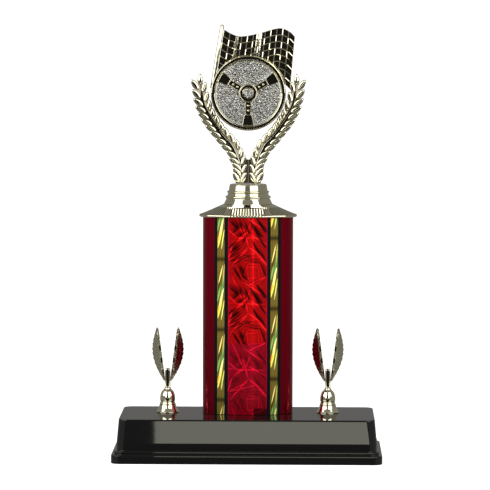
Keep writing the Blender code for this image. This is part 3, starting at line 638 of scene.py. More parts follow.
STREAK_REPEAT = 56.9
STREAKS = (
    # start across and up, end across and up, width, colour
    ((0.3, 2.0), (4.3, 21.0), 2.2, (1.0, 0.86, 0.10)),
    ((0.2, 6.0), (2.2, 15.0), 1.5, (1.0, 0.42, 0.04)),
    ((3.2, 0.5), (5.6, 17.0), 1.3, (0.75, 0.80, 0.20)),
    ((1.6, 12.0), (5.2, 27.0), 1.9, (0.95, 0.95, 0.35)),
    ((0.1, 16.0), (2.5, 28.0), 1.6, (0.22, 0.45, 0.10)),
    ((2.9, 21.0), (5.7, 37.0), 1.7, (0.10, 0.34, 0.09)),
    ((0.6, 25.0), (3.8, 40.0), 1.6, (0.05, 0.03, 0.0)),
    ((4.4, 30.0), (5.8, 46.0), 1.2, (0.55, 0.45, 0.10)),
    ((1.0, 30.0), (4.4, 45.0), 1.2, (0.95, 0.85, 0.25)),
    ((4.8, 5.0), (5.9, 13.0), 0.9, (0.06, 0.04, 0.0)),
)


def streak_paint(side, offset):
    """Black-edged gold foil with long slanting streaks. It returns the function that paints one strip."""

    def paint(x, z):
        from_edge = np.abs(x) - 15.9
        inner = 2.6
        outer = inner + 6.0
        place = (from_edge - inner) if side > 0 else (outer - from_edge)
        local = np.mod(z + offset, STREAK_REPEAT)
        ground = np.array((0.17, 0.125, 0.022))
        ripple = 0.82 + 0.25 * np.sin(place * 5.1) * np.sin(place * 2.3 + 0.7)
        colour = ground[None, None, :] * ripple[..., None]
        dim = np.exp(-((local - 50) / 2.0) ** 2)
        colour = colour * (1 - 0.75 * dim[..., None])
        for start, end, width, tint in STREAKS:
            deep = np.clip(lens(place, local, start, end, width) * 2.2, 0, 1)[..., None]
            colour = colour * (1 - deep) + np.array(tint)[None, None, :] * deep
        black = (from_edge < inner) | (from_edge > outer)
        colour = np.where(black[..., None], np.array((0.004, 0.005, 0.005))[None, None, :], colour)
        return colour

    return paint


def make_column(looks):
    oval, middle_y, bottom, top = column_oval()
    rings = [oval.ring(z, middle_y, grow) for z, grow in ((bottom, 0), (top, 0), (top, -0.3), (bottom, -0.3))]
    wrap = skin("column_film", rings, loop=True)
    add_piece("column_film", wrap, looks["red"], "trophy", "red_foil", "column_wrap")
    for where, facing in (("front", 1), ("rear", -1)):
        half = 15.7
        mesh = foil_mesh(
            f"{where}_crystal", oval, middle_y, -half, half, bottom, top, facing, 72, 352, crystal_paint
        )
        add_piece(f"{where}_crystal", mesh, looks["crystal_foil"], "trophy", "crystal_foil", f"panel_{where}")
        for hand, side in HANDS.items():
            near, far = 16.0, 27.1
            span = (near, far) if side > 0 else (-far, -near)
            paint = streak_paint(side, 38.2 if side * facing < 0 else 21.2)
            name = f"{where}_streaks_{hand}"
            mesh = foil_mesh(name, oval, middle_y, *span, bottom, top, facing, 38, 352, paint)
            add_piece(name, mesh, looks["streak_foil"], "trophy", "streak_foil", f"stripe_{where}_{hand}")


# Cap


FLUTES = 84


def make_cap(looks):
    low, high = box("column_cap")
    middle_y = (low[1] + high[1]) / 2
    rim = Oval((high[0] - low[0]) / 2, (high[1] - low[1]) / 2, END_RADIUS + 2.4)
    seat = box("topper_pedestal")[1][0] + 0.8
    steps = 10 * FLUTES

    def evenly(oval, z, grow=0.0):
        """Ring points an equal distance apart round the oval."""
        fine = np.array(oval.ring(z, middle_y, grow, 120, 120))
        loop = np.r_[fine, fine[:1]]
        lengths = np.r_[0, np.cumsum(np.linalg.norm(np.diff(loop, axis=0), axis=1))]
        wanted = np.arange(steps) * lengths[-1] / steps
        return np.stack([np.interp(wanted, lengths, loop[:, i]) for i in range(3)], axis=1)

    outer = evenly(rim, 0.0)
    turn = np.unwrap(np.arctan2(outer[:, 1] - middle_y, outer[:, 0]))
    circle = np.stack([seat * np.cos(turn), middle_y + seat * np.sin(turn), 0 * turn], axis=1)
    bottom, top = low[2], high[2]
    rim_top = bottom + 1.9
    stations = [(0, bottom, 0, -0.8), (0, bottom + 0.25, 0, -0.25), (0, bottom + 0.8, 0, 0)]
    stations += [(0, bottom + 1.5, 0, 0)]
    slope = [0.012, 0.03, 0.07, 0.12, 0.2, 0.3, 0.4, 0.5, 0.6, 0.7, 0.76, 0.8, 0.84, 0.9, 0.95, 1.0]
    for share in slope:
        rise = rim_top + (top - rim_top) * share**1.12
        stations.append((share, rise, 1 if share < 0.78 else 0, -0.2 if share == 0 else 0))
    rings, fluted = [], []
    ahead = np.roll(outer, -1, axis=0) - np.roll(outer, 1, axis=0)
    normal = np.stack([ahead[:, 1], -ahead[:, 0], 0 * turn], axis=1)
    normal /= np.linalg.norm(normal, axis=1)[:, None]
    for share, z, flute, grow in stations:
        ring = outer * (1 - share) + circle * share + normal * grow
        ring[:, 2] = z
        rings.append(ring)
        fluted.append(np.full(len(ring), float(flute)))
    hole = Oval(rim.half_x - 7.6, rim.half_y - 7.6, END_RADIUS - 4.5)
    inner = [evenly(hole, z) for z in (bottom, bottom + 1.6)]
    bore = np.stack([3.6 * np.cos(turn), middle_y + 3.6 * np.sin(turn), 0 * turn], axis=1)
    for z in (top, top - 2.4):
        ring = bore.copy()
        ring[:, 2] = z
        rings.append(ring)
        fluted.append(np.zeros(len(ring)))
    for ring in inner[::-1]:
        rings.append(ring)
        fluted.append(np.zeros(len(ring)))
    rings = np.array(rings)
    count, around = rings.shape[:2]
    faces = []
    for i in range(count):
        for k in range(around):
            after = (k + 1) % around
            there = (i + 1) % count
            faces.append((i * around + k, i * around + after, there * around + after, there * around + k))
    mesh = bpy.data.meshes.new("cap_start")
    mesh.from_pydata(rings.reshape(-1, 3) * MM, [], faces)
    fluted = np.concatenate(fluted)
    rounds = np.tile(np.arange(around) / around, count)
    aside = np.clip((np.abs(rings.reshape(-1, 3)[:, 0]) - 13) / 8, 0, 1)
    ribs = np.clip((0.85 - np.abs(np.sin(math.pi * FLUTES * rounds))) / 0.25, 0, 1)
    mark(mesh, "fluted", fluted * (1 - 0.8 * aside))
    mark(mesh, "round", rounds)
    # Painted shade and painted dark reflections along the flutes, full in the front middle and weaker towards
    # the sides.
    mark(mesh, "shade", (1 - 0.3 * aside) * ribs * (fluted > 0))
    shape = Shape("flutes", Count=float(FLUTES), Depth=0.5)
    wave = shape.math("MULTIPLY", shape.read("round"), shape.math("MULTIPLY", shape.given["Count"], math.pi))
    trough = shape.math("POWER", shape.math("ABSOLUTE", shape.math("SINE", wave)), 0.45)
    depth = shape.math("MULTIPLY", shape.math("MULTIPLY", trough, shape.read("fluted")), shape.given["Depth"])
    lifted = shape.lift(shape.given[0], shape.math("MULTIPLY", depth, -1.0))
    made = shape.made("fluted_cap", mesh, lifted, looks["lined"], math.radians(60))
    add_piece("fluted_cap", made, looks["lined"], "trophy", "gold_metallised", "column_cap")


# Topper


def make_pedestal(looks):
    low, high = box("topper_pedestal")
    foot, height = (high[0] - low[0]) / 2, high[2] - low[2]
    outside = [(0, 1), (0.735, 1), (0.765, 0.95), (0.80, 0.67), (0.855, 0.655), (0.875, 0.61), (0.855, 0.565)]
    outside += [(0.825, 0.55), (0.865, 0.415), (0.92, 0.40), (0.94, 0.35), (0.92, 0.30), (0.89, 0.285)]
    outside += [(0.985, 0.04), (1.0, 0)]
    profile = [(foot * radius, height * up) for radius, up in outside]
    inside = [(5.95, 0), (5.95, 6.0), (3.5, 6.0), (3.5, height - 3), (0, height - 3)]
    profile = [tuple(point) for point in eased(profile + inside, 0.35, 3)]
    middle = (0, (low[1] + high[1]) / 2, low[2])
    mesh = turned("pedestal", profile, middle, steps=128)
    add_piece("pedestal", mesh, looks["gold"], "topper", "gold_metallised", "topper_pedestal")


# The leaves' middles, each with its distance from the middle plane, its height and its turn outwards
OUTER_LEAVES = (
    (9.6, 4.9, 27), (9.0, 9.2, 40), (9.3, 13.4, 48), (11.3, 18.0, 57), (13.4, 23.3, 57),
    (17.7, 28.8, 61), (21.9, 33.9, 62), (26.3, 39.4, 62), (30.2, 44.3, 62), (33.4, 49.1, 62),
    (36.2, 54.4, 62), (38.5, 59.6, 60), (40.4, 65.4, 52), (41.9, 72.0, 42), (43.0, 79.4, 35),
)
INNER_LEAVES = (
    (3.6, 4.8, -26), (3.3, 11.4, -20), (3.9, 18.1, -18), (5.9, 24.2, -5), (8.9, 31.0, 10),
    (13.2, 36.2, 20), (17.8, 40.9, 15), (21.6, 45.4, 8), (25.1, 50.6, 8), (28.6, 56.0, 3),
    (31.4, 62.5, -4), (33.8, 69.5, -14), (35.7, 77.3, -15),
)
TOP_LEAF = (38.8, 83.6, 0)
STEM_ROUTE = (
    (6.5, 0.2), (6.4, 12.6), (9.1, 22.6), (13.6, 31.7), (19.9, 38.0), (26.3, 47.1), (31.7, 55.3),
    (36.3, 64.3), (38.7, 81.0),
)
LEAF_LENGTH = 10.6
LEAF_WIDTH = 4.9
LEAF_DEPTH = 2.4
WEB_HALF_WIDTH = 3.7
WEB_THICKNESS = 1.5


def smooth_path(points, count):
    """Points along a smooth curve through the given ones."""
    knots = [np.array(point, float) for point in points]
    knots = [2 * knots[0] - knots[1], *knots, 2 * knots[-1] - knots[-2]]
    spans = len(points) - 1
    path = []
    for i in range(count):
        place = min(i * spans / (count - 1), spans - 1e-9)
        span = int(place)
        t = place - span
        a, b, c, d = knots[span : span + 4]
        bend = (2 * a - 5 * b + 4 * c - d) * t**2 + (3 * b - a - 3 * c + d) * t**3
        path.append((2 * b + (c - a) * t + bend) / 2)
    return np.array(path)


def even_path(points, count):
    fine = smooth_path(points, 600)
    lengths = np.r_[0, np.cumsum(np.linalg.norm(np.diff(fine, axis=0), axis=1))]
    wanted = np.linspace(0, lengths[-1], count)
    return np.stack([np.interp(wanted, lengths, fine[:, i]) for i in range(fine.shape[1])], axis=1)


def leaf_mesh():
    """One almond leaf that grows up from the origin: domed front and back."""
    along_steps, across_steps = 16, 12
    rings = []
    for i in range(along_steps + 1):
        share = i / along_steps
        half = max(LEAF_WIDTH / 2 * max(math.sin(math.pi * share**0.9), 0.0) ** 0.7, 0.03)
        deep = LEAF_DEPTH / 2 * min(1.0, 0.12 + 2.2 * math.sin(math.pi * share)) ** 0.7
        ring = []
        for k in range(2 * across_steps):
            angle = math.pi * k / across_steps
            across = math.cos(angle)
            swell = math.sin(angle)
            ring.append((across * half, swell * deep, share * LEAF_LENGTH))
        rings.append(ring)
    mesh = skin("laurel_leaf", rings, sharp=math.radians(70))
    share = np.array([vertex.co.z for vertex in mesh.vertices]) / (LEAF_LENGTH * MM)
    half = LEAF_WIDTH / 2 * np.maximum(np.sin(math.pi * share**0.9), 0.01) ** 0.7
    aside = np.abs([vertex.co.x for vertex in mesh.vertices]) / (half * MM)
    # Painted shade: dark outlines along the leaf's edges, faint on its flanks, none down its middle.
    mark(mesh, "shade", np.interp(aside, [0.3, 0.5, 0.78, 0.92, 1], [0, 0.15, 0.2, 1, 1]))
    return mesh


def web_mesh(path, side):
    """The thin sheet between the leaves of a branch. It narrows from its foot to its tip."""
    rings = []
    for i, point in enumerate(path):
        before, after = path[max(i - 1, 0)], path[min(i + 1, len(path) - 1)]
        ahead = (after - before) / np.linalg.norm(after - before)
        across = side * np.array((ahead[2], 0, -ahead[0]))
        share = i / (len(path) - 1)
        outer = WEB_HALF_WIDTH * min(1, 0.45 + 6 * (1 - share))
        inner = max(outer, (abs(point[0]) - 0.04) / abs(across[0])) if share < 0.2 else outer
        ring = []
        for reach, deep in ((-inner, 0.2), (0.35 - inner, 1), (outer - 0.35, 1), (outer, 0.2)):
            ring.append(point + across * reach - np.array((0, deep * WEB_THICKNESS / 2, 0)))
        ring += [corner * (1, -1, 1) + 2 * point * (0, 1, 0) for corner in ring[::-1]]
        rings.append(ring)
    return skin("laurel_web", rings)


def make_laurel(looks, hand, side, leaf):
    low, high = box(f"laurel_{hand}")
    middle_y = (low[1] + high[1]) / 2
    foot = low[2]
    stem = even_path([(side * across, middle_y, foot + up) for across, up in STEM_ROUTE], 48)
    places, turns, sizes = [], [], []
    for across, up, turn in (*OUTER_LEAVES, *INNER_LEAVES, TOP_LEAF):
        heading = side * math.radians(turn)
        size = 1.0 if turn > 22 else 0.92
        half = size * LEAF_LENGTH / 2
        x, z = side * across - half * math.sin(heading), foot + up - half * math.cos(heading)
        places.append((x, middle_y, z))
        turns.append((0, heading, 0))
        sizes.append(size)
    points = bpy.data.meshes.new(f"laurel_{hand}_roots")
    points.from_pydata(np.array(places) * MM, [], [])
    mark(points, "heading", turns, "FLOAT_VECTOR")
    mark(points, "size", sizes)
    shape = Shape(f"laurel_{hand}_leaves", Leaf=leaf)
    source = shape.add("GeometryNodeObjectInfo", {"Object": shape.given["Leaf"]}).outputs["Geometry"]
    planted = shape.add(
        "GeometryNodeInstanceOnPoints",
        {
            "Points": shape.given[0],
            "Instance": source,
            "Rotation": shape.read("heading", "FLOAT_VECTOR"),
            "Scale": shape.read("size"),
        },
    )
    leaves = shape.made(f"laurel_{hand}_leaves", points, planted.outputs[0], looks["lined"], math.radians(70))
    rings = []
    for i, point in enumerate(stem):
        before, after = stem[max(i - 1, 0)], stem[min(i + 1, len(stem) - 1)]
        ahead = (after - before) / np.linalg.norm(after - before)
        across = np.array((-ahead[2], 0, ahead[0]))
        radius = 0.95 - 0.3 * i / len(stem)
        ring = []
        for k in range(12):
            angle = math.pi * k / 6
            ring.append(point + radius * (across * math.cos(angle) + np.array((0, math.sin(angle), 0))))
        rings.append(ring)
    stalk = skin(f"laurel_{hand}_stem", rings)
    web = web_mesh(stem, side)
    # Painted shade: the stem a little darker and the sheet between the leaves much darker, for dark gaps
    # between the leaves.
    mark(stalk, "shade", np.full(len(stalk.vertices), 0.4))
    mark(web, "shade", np.full(len(web.vertices), 0.85))
    bm = bmesh.new()
    bm.from_mesh(leaves)
    bm.from_mesh(stalk)
    bm.from_mesh(web)
    mesh = bpy.data.meshes.new(f"laurel_{hand}_branch")
    bm.to_mesh(mesh)
    bm.free()
    mesh.shade_smooth()
    mesh.set_sharp_from_angle(angle=math.radians(70))
    add_piece(f"laurel_{hand}_branch", mesh, looks["lined"], "topper", "gold_metallised", f"laurel_{hand}")


def wheel_centre():
    low, high = box("wheel_disc")
    return (0.0, 0.0, (low[2] + high[2]) / 2)


def pebbles(places, grain, seed):
    """Random heights from 0 to 1 that change smoothly, with this many bumps to the millimetre."""
    lattice = np.random.default_rng(seed).random((256, 256))
    spot = (places + 40) * grain
    cell = np.floor(spot).astype(int)
    x, z = (3 * (spot - cell) ** 2 - 2 * (spot - cell) ** 3).T
    i, k = cell.T % 256
    near = lattice[i, k] * (1 - x) + lattice[(i + 1) % 256, k] * x
    far = lattice[i, (k + 1) % 256] * (1 - x) + lattice[(i + 1) % 256, (k + 1) % 256] * x
    return near * (1 - z) + far * z


def pebbled_disc(name, radius, front, back, centre, step, looks, depth, grain):
    """A solid disc that faces the front, on a fine grid, with pebbles raised on its face."""
    half = math.ceil(radius / step)
    index, verts, faces = {}, [], []
    cells = [
        (i, k)
        for i in range(-half, half)
        for k in range(-half, half)
        if math.hypot((i + 0.5) * step, (k + 0.5) * step) < radius - 0.45 * step
    ]
    for i, k in cells:
        for corner in ((i, k), (i + 1, k), (i + 1, k + 1), (i, k + 1)):
            if corner not in index:
                index[corner] = len(verts)
                verts.append([corner[0] * step, front, corner[1] * step])
        faces.append([index[(i, k)], index[(i + 1, k)], index[(i + 1, k + 1)], index[(i, k + 1)]])
    directed = {}
    for face in faces:
        for a, b in zip(face, face[1:] + face[:1]):
            directed[(a, b)] = True
    border = {a: b for a, b in directed if (b, a) not in directed}
    start = next(iter(border))
    loop = [start]
    while border[loop[-1]] != start:
        loop.append(border[loop[-1]])
    for v in loop:
        x, _, z = verts[v]
        out = radius / math.hypot(x, z)
        verts[v] = [x * out, front, z * out]
    raised = np.ones(len(verts))
    raised[loop] = 0
    rear = {v: len(verts) + i for i, v in enumerate(loop)}
    verts += [[verts[v][0], back, verts[v][2]] for v in loop]
    for a, b in zip(loop, loop[1:] + loop[:1]):
        faces.append([b, a, rear[a], rear[b]])
    faces.append([rear[v] for v in loop][::-1])
    mesh = bpy.data.meshes.new(name)
    points = (np.array(verts) + np.array(centre)) * MM
    mesh.from_pydata(points, [], faces)
    mark(mesh, "raised", np.r_[raised, np.zeros(len(loop))])
    flat = np.array(verts)[:, [0, 2]]
    heights = sum(pebbles(flat, grain * size, seed) / size for seed, size in ((3, 1.0), (5, 1.8)))
    mark(mesh, "pebble", heights)
    # Painted shade, darker in the hollows between the pebbles.
    mark(mesh, "shade", np.clip((1.0 - heights) * 1.15, 0, 0.9))
    shape = Shape(name + "_pebbles", Depth=depth)
    height = shape.math("MULTIPLY", shape.read("pebble"), shape.read("raised"))
    height = shape.math("MULTIPLY", height, shape.given["Depth"])
    lifted = shape.lift(shape.given[0], height)
    return shape.made(name, mesh, lifted, looks["pebble"], math.radians(80))


def make_disc(looks):
    low, high = box("wheel_disc")
    radius = (high[0] - low[0]) / 2
    mesh = pebbled_disc("pebbled_disc", radius, low[1] + 0.1, high[1], wheel_centre(), 0.18, looks, 0.2, 1.5)
    add_piece("pebbled_disc", mesh, looks["pebble"], "topper", "pebbled_silver", "wheel_disc")


def make_rim(looks):
    low, high = box("wheel_rim")
    outer = (high[0] - low[0]) / 2
    front, back = low[1], high[1]
    inner = (box("wheel_disc")[1][0] - box("wheel_disc")[0][0]) / 2 + 0.3
    section = [(inner, back - 0.6), (inner, front + 1.6)]
    section += [(inner + 0.9, front + 0.5), (inner + 1.1, front + 0.42)]
    section += [(outer - 0.75, front + 0.42), (outer - 0.5, front + 0.55), (outer, front + 1.6)]
    section += [(outer, back - 0.8), (outer - 0.6, back), (inner + 0.6, back)]
    section = [tuple(point) for point in eased(section, 0.15, 3, closed=True)]
    mesh = turned("rim_ring", section, wheel_centre(), axis="Y", steps=192, loop=True, sharp=math.radians(12))
    add_piece("rim_ring", mesh, looks["wheel"], "topper", "dark_metallised", "wheel_rim")


def framed_plate(name, outline, front, back, frame=0.5, sunk=0.35, sharp=math.radians(50), both=False):
    """A flat piece with a raised, rounded frame round a sunk field. The outline is (x, z), anticlockwise."""
    turns = [math.pi * i / 10 for i in range(11)]
    steps = [(frame / 2 * (1 - math.cos(turn)), sunk * (1 - math.sin(turn))) for turn in turns]
    rings = []
    for distance, down in reversed(steps):
        rings.append([(x, front + down, z) for x, z in inset(outline, distance)])
    if both:
        for distance, down in steps:
            rings.append([(x, back - down, z) for x, z in inset(outline, distance)])
    else:
        rings.append([(x, back, z) for x, z in outline])
    return skin(name, rings, sharp=sharp)


def make_spokes(looks):
    """The hub, and three arms that each end in a framed pad, with two round studs on each arm."""
    low, high = box("wheel_spokes")
    centre = wheel_centre()
    inside = (box("wheel_disc")[1][0] - box("wheel_disc")[0][0]) / 2
    back, plate = high[1], high[1] - 1.6
    hub = low[1]
    bm = bmesh.new()
    section = [(0, back), (7.4, back), (7.4, hub + 0.9)]
    section += [(7.25, hub + 0.35), (7.0, hub + 0.2), (6.75, hub + 0.35)]
    section += [(6.6, hub + 0.6), (4.5, hub + 0.6), (4.1, hub + 1.0)]
    section += [(0, hub + 1.0)]
    bm.from_mesh(turned("hub", [tuple(p) for p in eased(section, 0.3, 3)], centre, axis="Y", steps=96))
    arm_end = 17.6
    arm = [(6.2, -2.5), (arm_end, -2.1), (arm_end, 2.1), (6.2, 2.5)]
    pad = [(arm_end - 0.2, -2.9), (arm_end + 1.4, -3.5), (inside - 0.5, -4.6), (inside, -4.3)]
    pad += [(inside + 0.2, 0), (inside, 4.3), (inside - 0.5, 4.6), (arm_end + 1.4, 3.5), (arm_end - 0.2, 2.9)]
    for angle in (30, 150, 270):
        turn = math.radians(angle)
        out, beside = np.array((math.cos(turn), math.sin(turn))), np.array((-math.sin(turn), math.cos(turn)))
        for shape, front, frame in ((arm, plate + 0.5, 0.3), (pad, plate, 0.4)):
            corners = eased([(r, w, 0) for r, w in shape], 0.8, 3, closed=True)
            outline = [out * p[0] + beside * p[1] + np.array((0, centre[2])) for p in corners]
            bm.from_mesh(framed_plate("spoke", outline, front, back, frame, 0.25))
    points = []
    for angle in (30, 150, 270):
        turn = math.radians(angle)
        points += [(r * math.cos(turn), 0, centre[2] + r * math.sin(turn)) for r in (10.1, 14.0)]
    spots = bpy.data.meshes.new("stud_places")
    spots.from_pydata(np.array(points) * MM, [], [])
    dome = [(0, plate + 0.15), (0.35, plate + 0.2), (0.7, plate + 0.42)]
    dome += [(0.95, plate + 0.75), (1.0, back), (0, back)]
    stud = bpy.data.objects.new("stud", turned("stud", dome, (0, 0, 0), axis="Y", steps=20))
    bpy.context.scene.collection.objects.link(stud)
    shape = Shape("wheel_studs", Stud=stud)
    source = shape.add("GeometryNodeObjectInfo", {"Object": shape.given["Stud"]}).outputs["Geometry"]
    set_in = shape.add("GeometryNodeInstanceOnPoints", {"Points": shape.given[0], "Instance": source})
    bm.from_mesh(shape.made("wheel_studs", spots, set_in.outputs[0], looks["wheel"]))
    bpy.data.objects.remove(stud)
    mesh = bpy.data.meshes.new("spokes_and_hub")
    bm.to_mesh(mesh)
    bm.free()
    mesh.shade_smooth()
    mesh.set_sharp_from_angle(angle=math.radians(15))
    add_piece("spokes_and_hub", mesh, looks["wheel"], "topper", "dark_metallised", "wheel_spokes")


def make_button(looks):
    low, high = box("hub_button")
    radius = (high[0] - low[0]) / 2
    front, back = low[1] + 0.1, high[1]
    mesh = pebbled_disc("pebbled_button", radius, front, back, wheel_centre(), 0.12, looks, 0.2, 1.25)
    add_piece("pebbled_button", mesh, looks["pebble"], "topper", "gold_metallised", "hub_button")


# Flag


POLE_LEAN = math.radians(9.2)
FLAG_EDGE = ((0, 0.13), (0.13, 0.78), (0.26, 1), (0.5, 0.59), (0.72, 0.03), (0.83, 0), (0.93, 0.4), (1, 1.03))
FLAG_WIDTH = 57.0
FLAG_DROP = 43.0
FLAG_RIPPLE = 6.3
FLAG_END_LEAN = math.radians(5)
FLAG_FOLDS = ((0, 0.14, 0.21, 0.36, 0.45, 0.53, 0.62, 0.72, 1), (0.3, 0.2, 1.0, 1.1, 0.7, 1.5, 1.8, 1.5, 0.6))
FLAG_COLUMNS = 12
FLAG_ROWS = 8


def make_pole(looks):
    low, high = box("flag_pole")
    middle_y = (low[1] + high[1]) / 2
    radius = (high[1] - low[1]) / 2
    top = np.array((-21.1, middle_y, high[2]))
    ahead = np.array((-math.sin(POLE_LEAN), 0, -math.cos(POLE_LEAN)))
    beside = np.array((math.cos(POLE_LEAN), 0, -math.sin(POLE_LEAN)))
    shape = [(0.05, 0), (0.35, 0.06), (0.62, 0.22), (0.83, 0.45)]
    shape += [(0.96, 0.75), (1, 1.05), (0.93, 1.25), (1, 1.45)]
    shape = [(radius * r, radius * down) for r, down in shape] + [(radius, 25.0), (radius, 51.9)]
    rings = []
    for r, down in shape:
        angles = np.arange(24) * math.pi / 12
        circle = np.cos(angles)[:, None] * beside + np.sin(angles)[:, None] * np.array((0, 1.0, 0))
        rings.append(top + ahead * down + r * circle)
    mesh = skin("flagstaff", rings)
    add_piece("flagstaff", mesh, looks["gold"], "topper", "gold_metallised", "flag_pole")


def check_lines(count):
    """Where the flag's grid lines lie, in checks: two close together at each joint and five between."""
    parts = (0.06, 0.2, 0.4, 0.6, 0.8, 0.94)
    return np.array([0.0] + [k + part for k in range(count) for part in parts] + [count])


def make_flag(looks):
    pole_low, pole_high = box("flag_pole")
    middle_y = (pole_low[1] + pole_high[1]) / 2
    radius = (pole_high[1] - pole_low[1]) / 2
    u, v = (check_lines(count) for count in (FLAG_COLUMNS, FLAG_ROWS))
    columns, rows = len(u), len(v)
    edge = smooth_path([(across, below) for across, below in FLAG_EDGE], 400)
    across = u / FLAG_COLUMNS
    below = np.interp(across, edge[:, 0], edge[:, 1]) * FLAG_RIPPLE
    down = v / FLAG_ROWS * FLAG_DROP
    folds = smooth_path(list(zip(*FLAG_FOLDS)), 400)
    wave = np.interp(across, folds[:, 0], folds[:, 1])
    start = 2 * radius
    x = -21.1 - (start + down[:, None]) * math.sin(POLE_LEAN) + radius + 0.3 + across[None, :] * FLAG_WIDTH
    flare = (math.sin(POLE_LEAN) - math.sin(FLAG_END_LEAN)) * across[None, :]
    x = x + down[:, None] * flare
    z = pole_high[2] - (start + down[:, None]) * math.cos(POLE_LEAN) - below[None, :]
    y = middle_y + np.tile(wave, (rows, 1))
    half = 0.5
    front = np.stack([x, y - half, z], axis=2).reshape(-1, 3)
    back = np.stack([x, y + half, z], axis=2).reshape(-1, 3)
    size = rows * columns
    faces = []
    for i in range(rows - 1):
        for k in range(columns - 1):
            a = i * columns + k
            faces.append((a, a + columns, a + columns + 1, a + 1))
            faces.append((a + size, a + size + 1, a + size + columns + 1, a + size + columns))
    border = [k for k in range(columns)] + [i * columns + columns - 1 for i in range(1, rows)]
    border += [(rows - 1) * columns + k for k in range(columns - 2, -1, -1)]
    border += [i * columns for i in range(rows - 2, 0, -1)]
    for a, b in zip(border, border[1:] + border[:1]):
        faces.append((a, b, b + size, a + size))
    mesh = bpy.data.meshes.new("flag_start")
    mesh.from_pydata(np.r_[front, back] * MM, [], faces)
    u = np.tile(np.tile(u, rows), 2)
    v = np.tile(np.repeat(v, columns), 2)
    raised = np.where((np.floor(u) + np.floor(v)) % 2 == 0, 1.0, 0.0)
    inside = (u > 0.02) & (u < FLAG_COLUMNS - 0.02) & (v > 0.02) & (v < FLAG_ROWS - 0.02)
    mark(mesh, "check", raised * inside)
    shape = Shape("flag_checks", Relief=0.3)
    height = shape.math("MULTIPLY", shape.read("check"), shape.given["Relief"])
    lifted = shape.lift(shape.given[0], height)
    made = shape.made("chequered_flag", mesh, lifted, looks["gold"], math.radians(22))
    add_piece("chequered_flag", made, looks["gold"], "topper", "gold_metallised", "flag")


# Side trims


WING_ROOT = 1.9
WING_SPREAD = 7.6
WING_WIDTH = 6.7
WING_BEAM = 0.85
WING_SWEEP = math.radians(38)
FEATHERS = 11
BARBS = 18.0
BARB_SLANT = 4.0


def make_bell(looks, hand):
    low, high = box(f"{hand}_trim_bell")
    foot = (high[0] - low[0]) / 2
    height = high[2] - low[2] + 0.3
    middle = ((low[0] + high[0]) / 2, (low[1] + high[1]) / 2, low[2] - 0.3)
    outside = [(0, 1), (0.27, 1), (0.275, 0.97), (0.31, 0.935), (0.40, 0.90), (0.50, 0.855), (0.58, 0.78)]
    outside += [(0.63, 0.70), (0.66, 0.61), (0.668, 0.54), (0.662, 0.48), (0.635, 0.46), (0.60, 0.455)]
    outside += [(0.60, 0.435), (0.64, 0.425), (0.64, 0.40), (0.66, 0.36), (0.71, 0.345), (0.715, 0.32)]
    outside += [(0.70, 0.30), (0.75, 0.235), (0.80, 0.18), (0.87, 0.125), (0.94, 0.07), (0.985, 0.04)]
    outside += [(1.0, 0.03), (1.0, 0.015), (0.86, 0.015), (0.62, 0.2)]
    profile = [(foot * radius, height * up) for radius, up in outside]
    profile += [(4.1, height * 0.2), (4.1, 0.3), (2.1, 0.3), (2.1, 10.5), (0, 10.5)]
    profile = [tuple(point) for point in eased(profile, 0.3, 3)]
    mesh = turned(f"{hand}_bell", profile, middle, steps=80)
    add_piece(f"{hand}_bell", mesh, looks["gold"], f"{hand}_trim", "gold_metallised", f"{hand}_trim_bell")


def make_body(looks, hand):
    low, high = box(f"{hand}_trim_body")
    middle = (low[0] + high[0]) / 2
    half = (high[0] - low[0]) / 2 - 0.35
    spring = high[2] - half
    outline = [(middle - half, low[2]), (middle + half, low[2])]
    for i in range(13):
        angle = math.pi * i / 12
        outline.append((middle + half * math.cos(angle), spring + half * math.sin(angle)))
    bm = bmesh.new()
    bm.from_mesh(framed_plate(f"{hand}_body", outline, low[1], high[1], 1.1, 1.2, both=True))
    mesh = bpy.data.meshes.new(f"{hand}_body")
    bm.to_mesh(mesh)
    bm.free()
    mesh.shade_smooth()
    mesh.set_sharp_from_angle(angle=SHARP)
    add_piece(f"{hand}_body", mesh, looks["gold"], f"{hand}_trim", "gold_metallised", f"{hand}_trim_body")


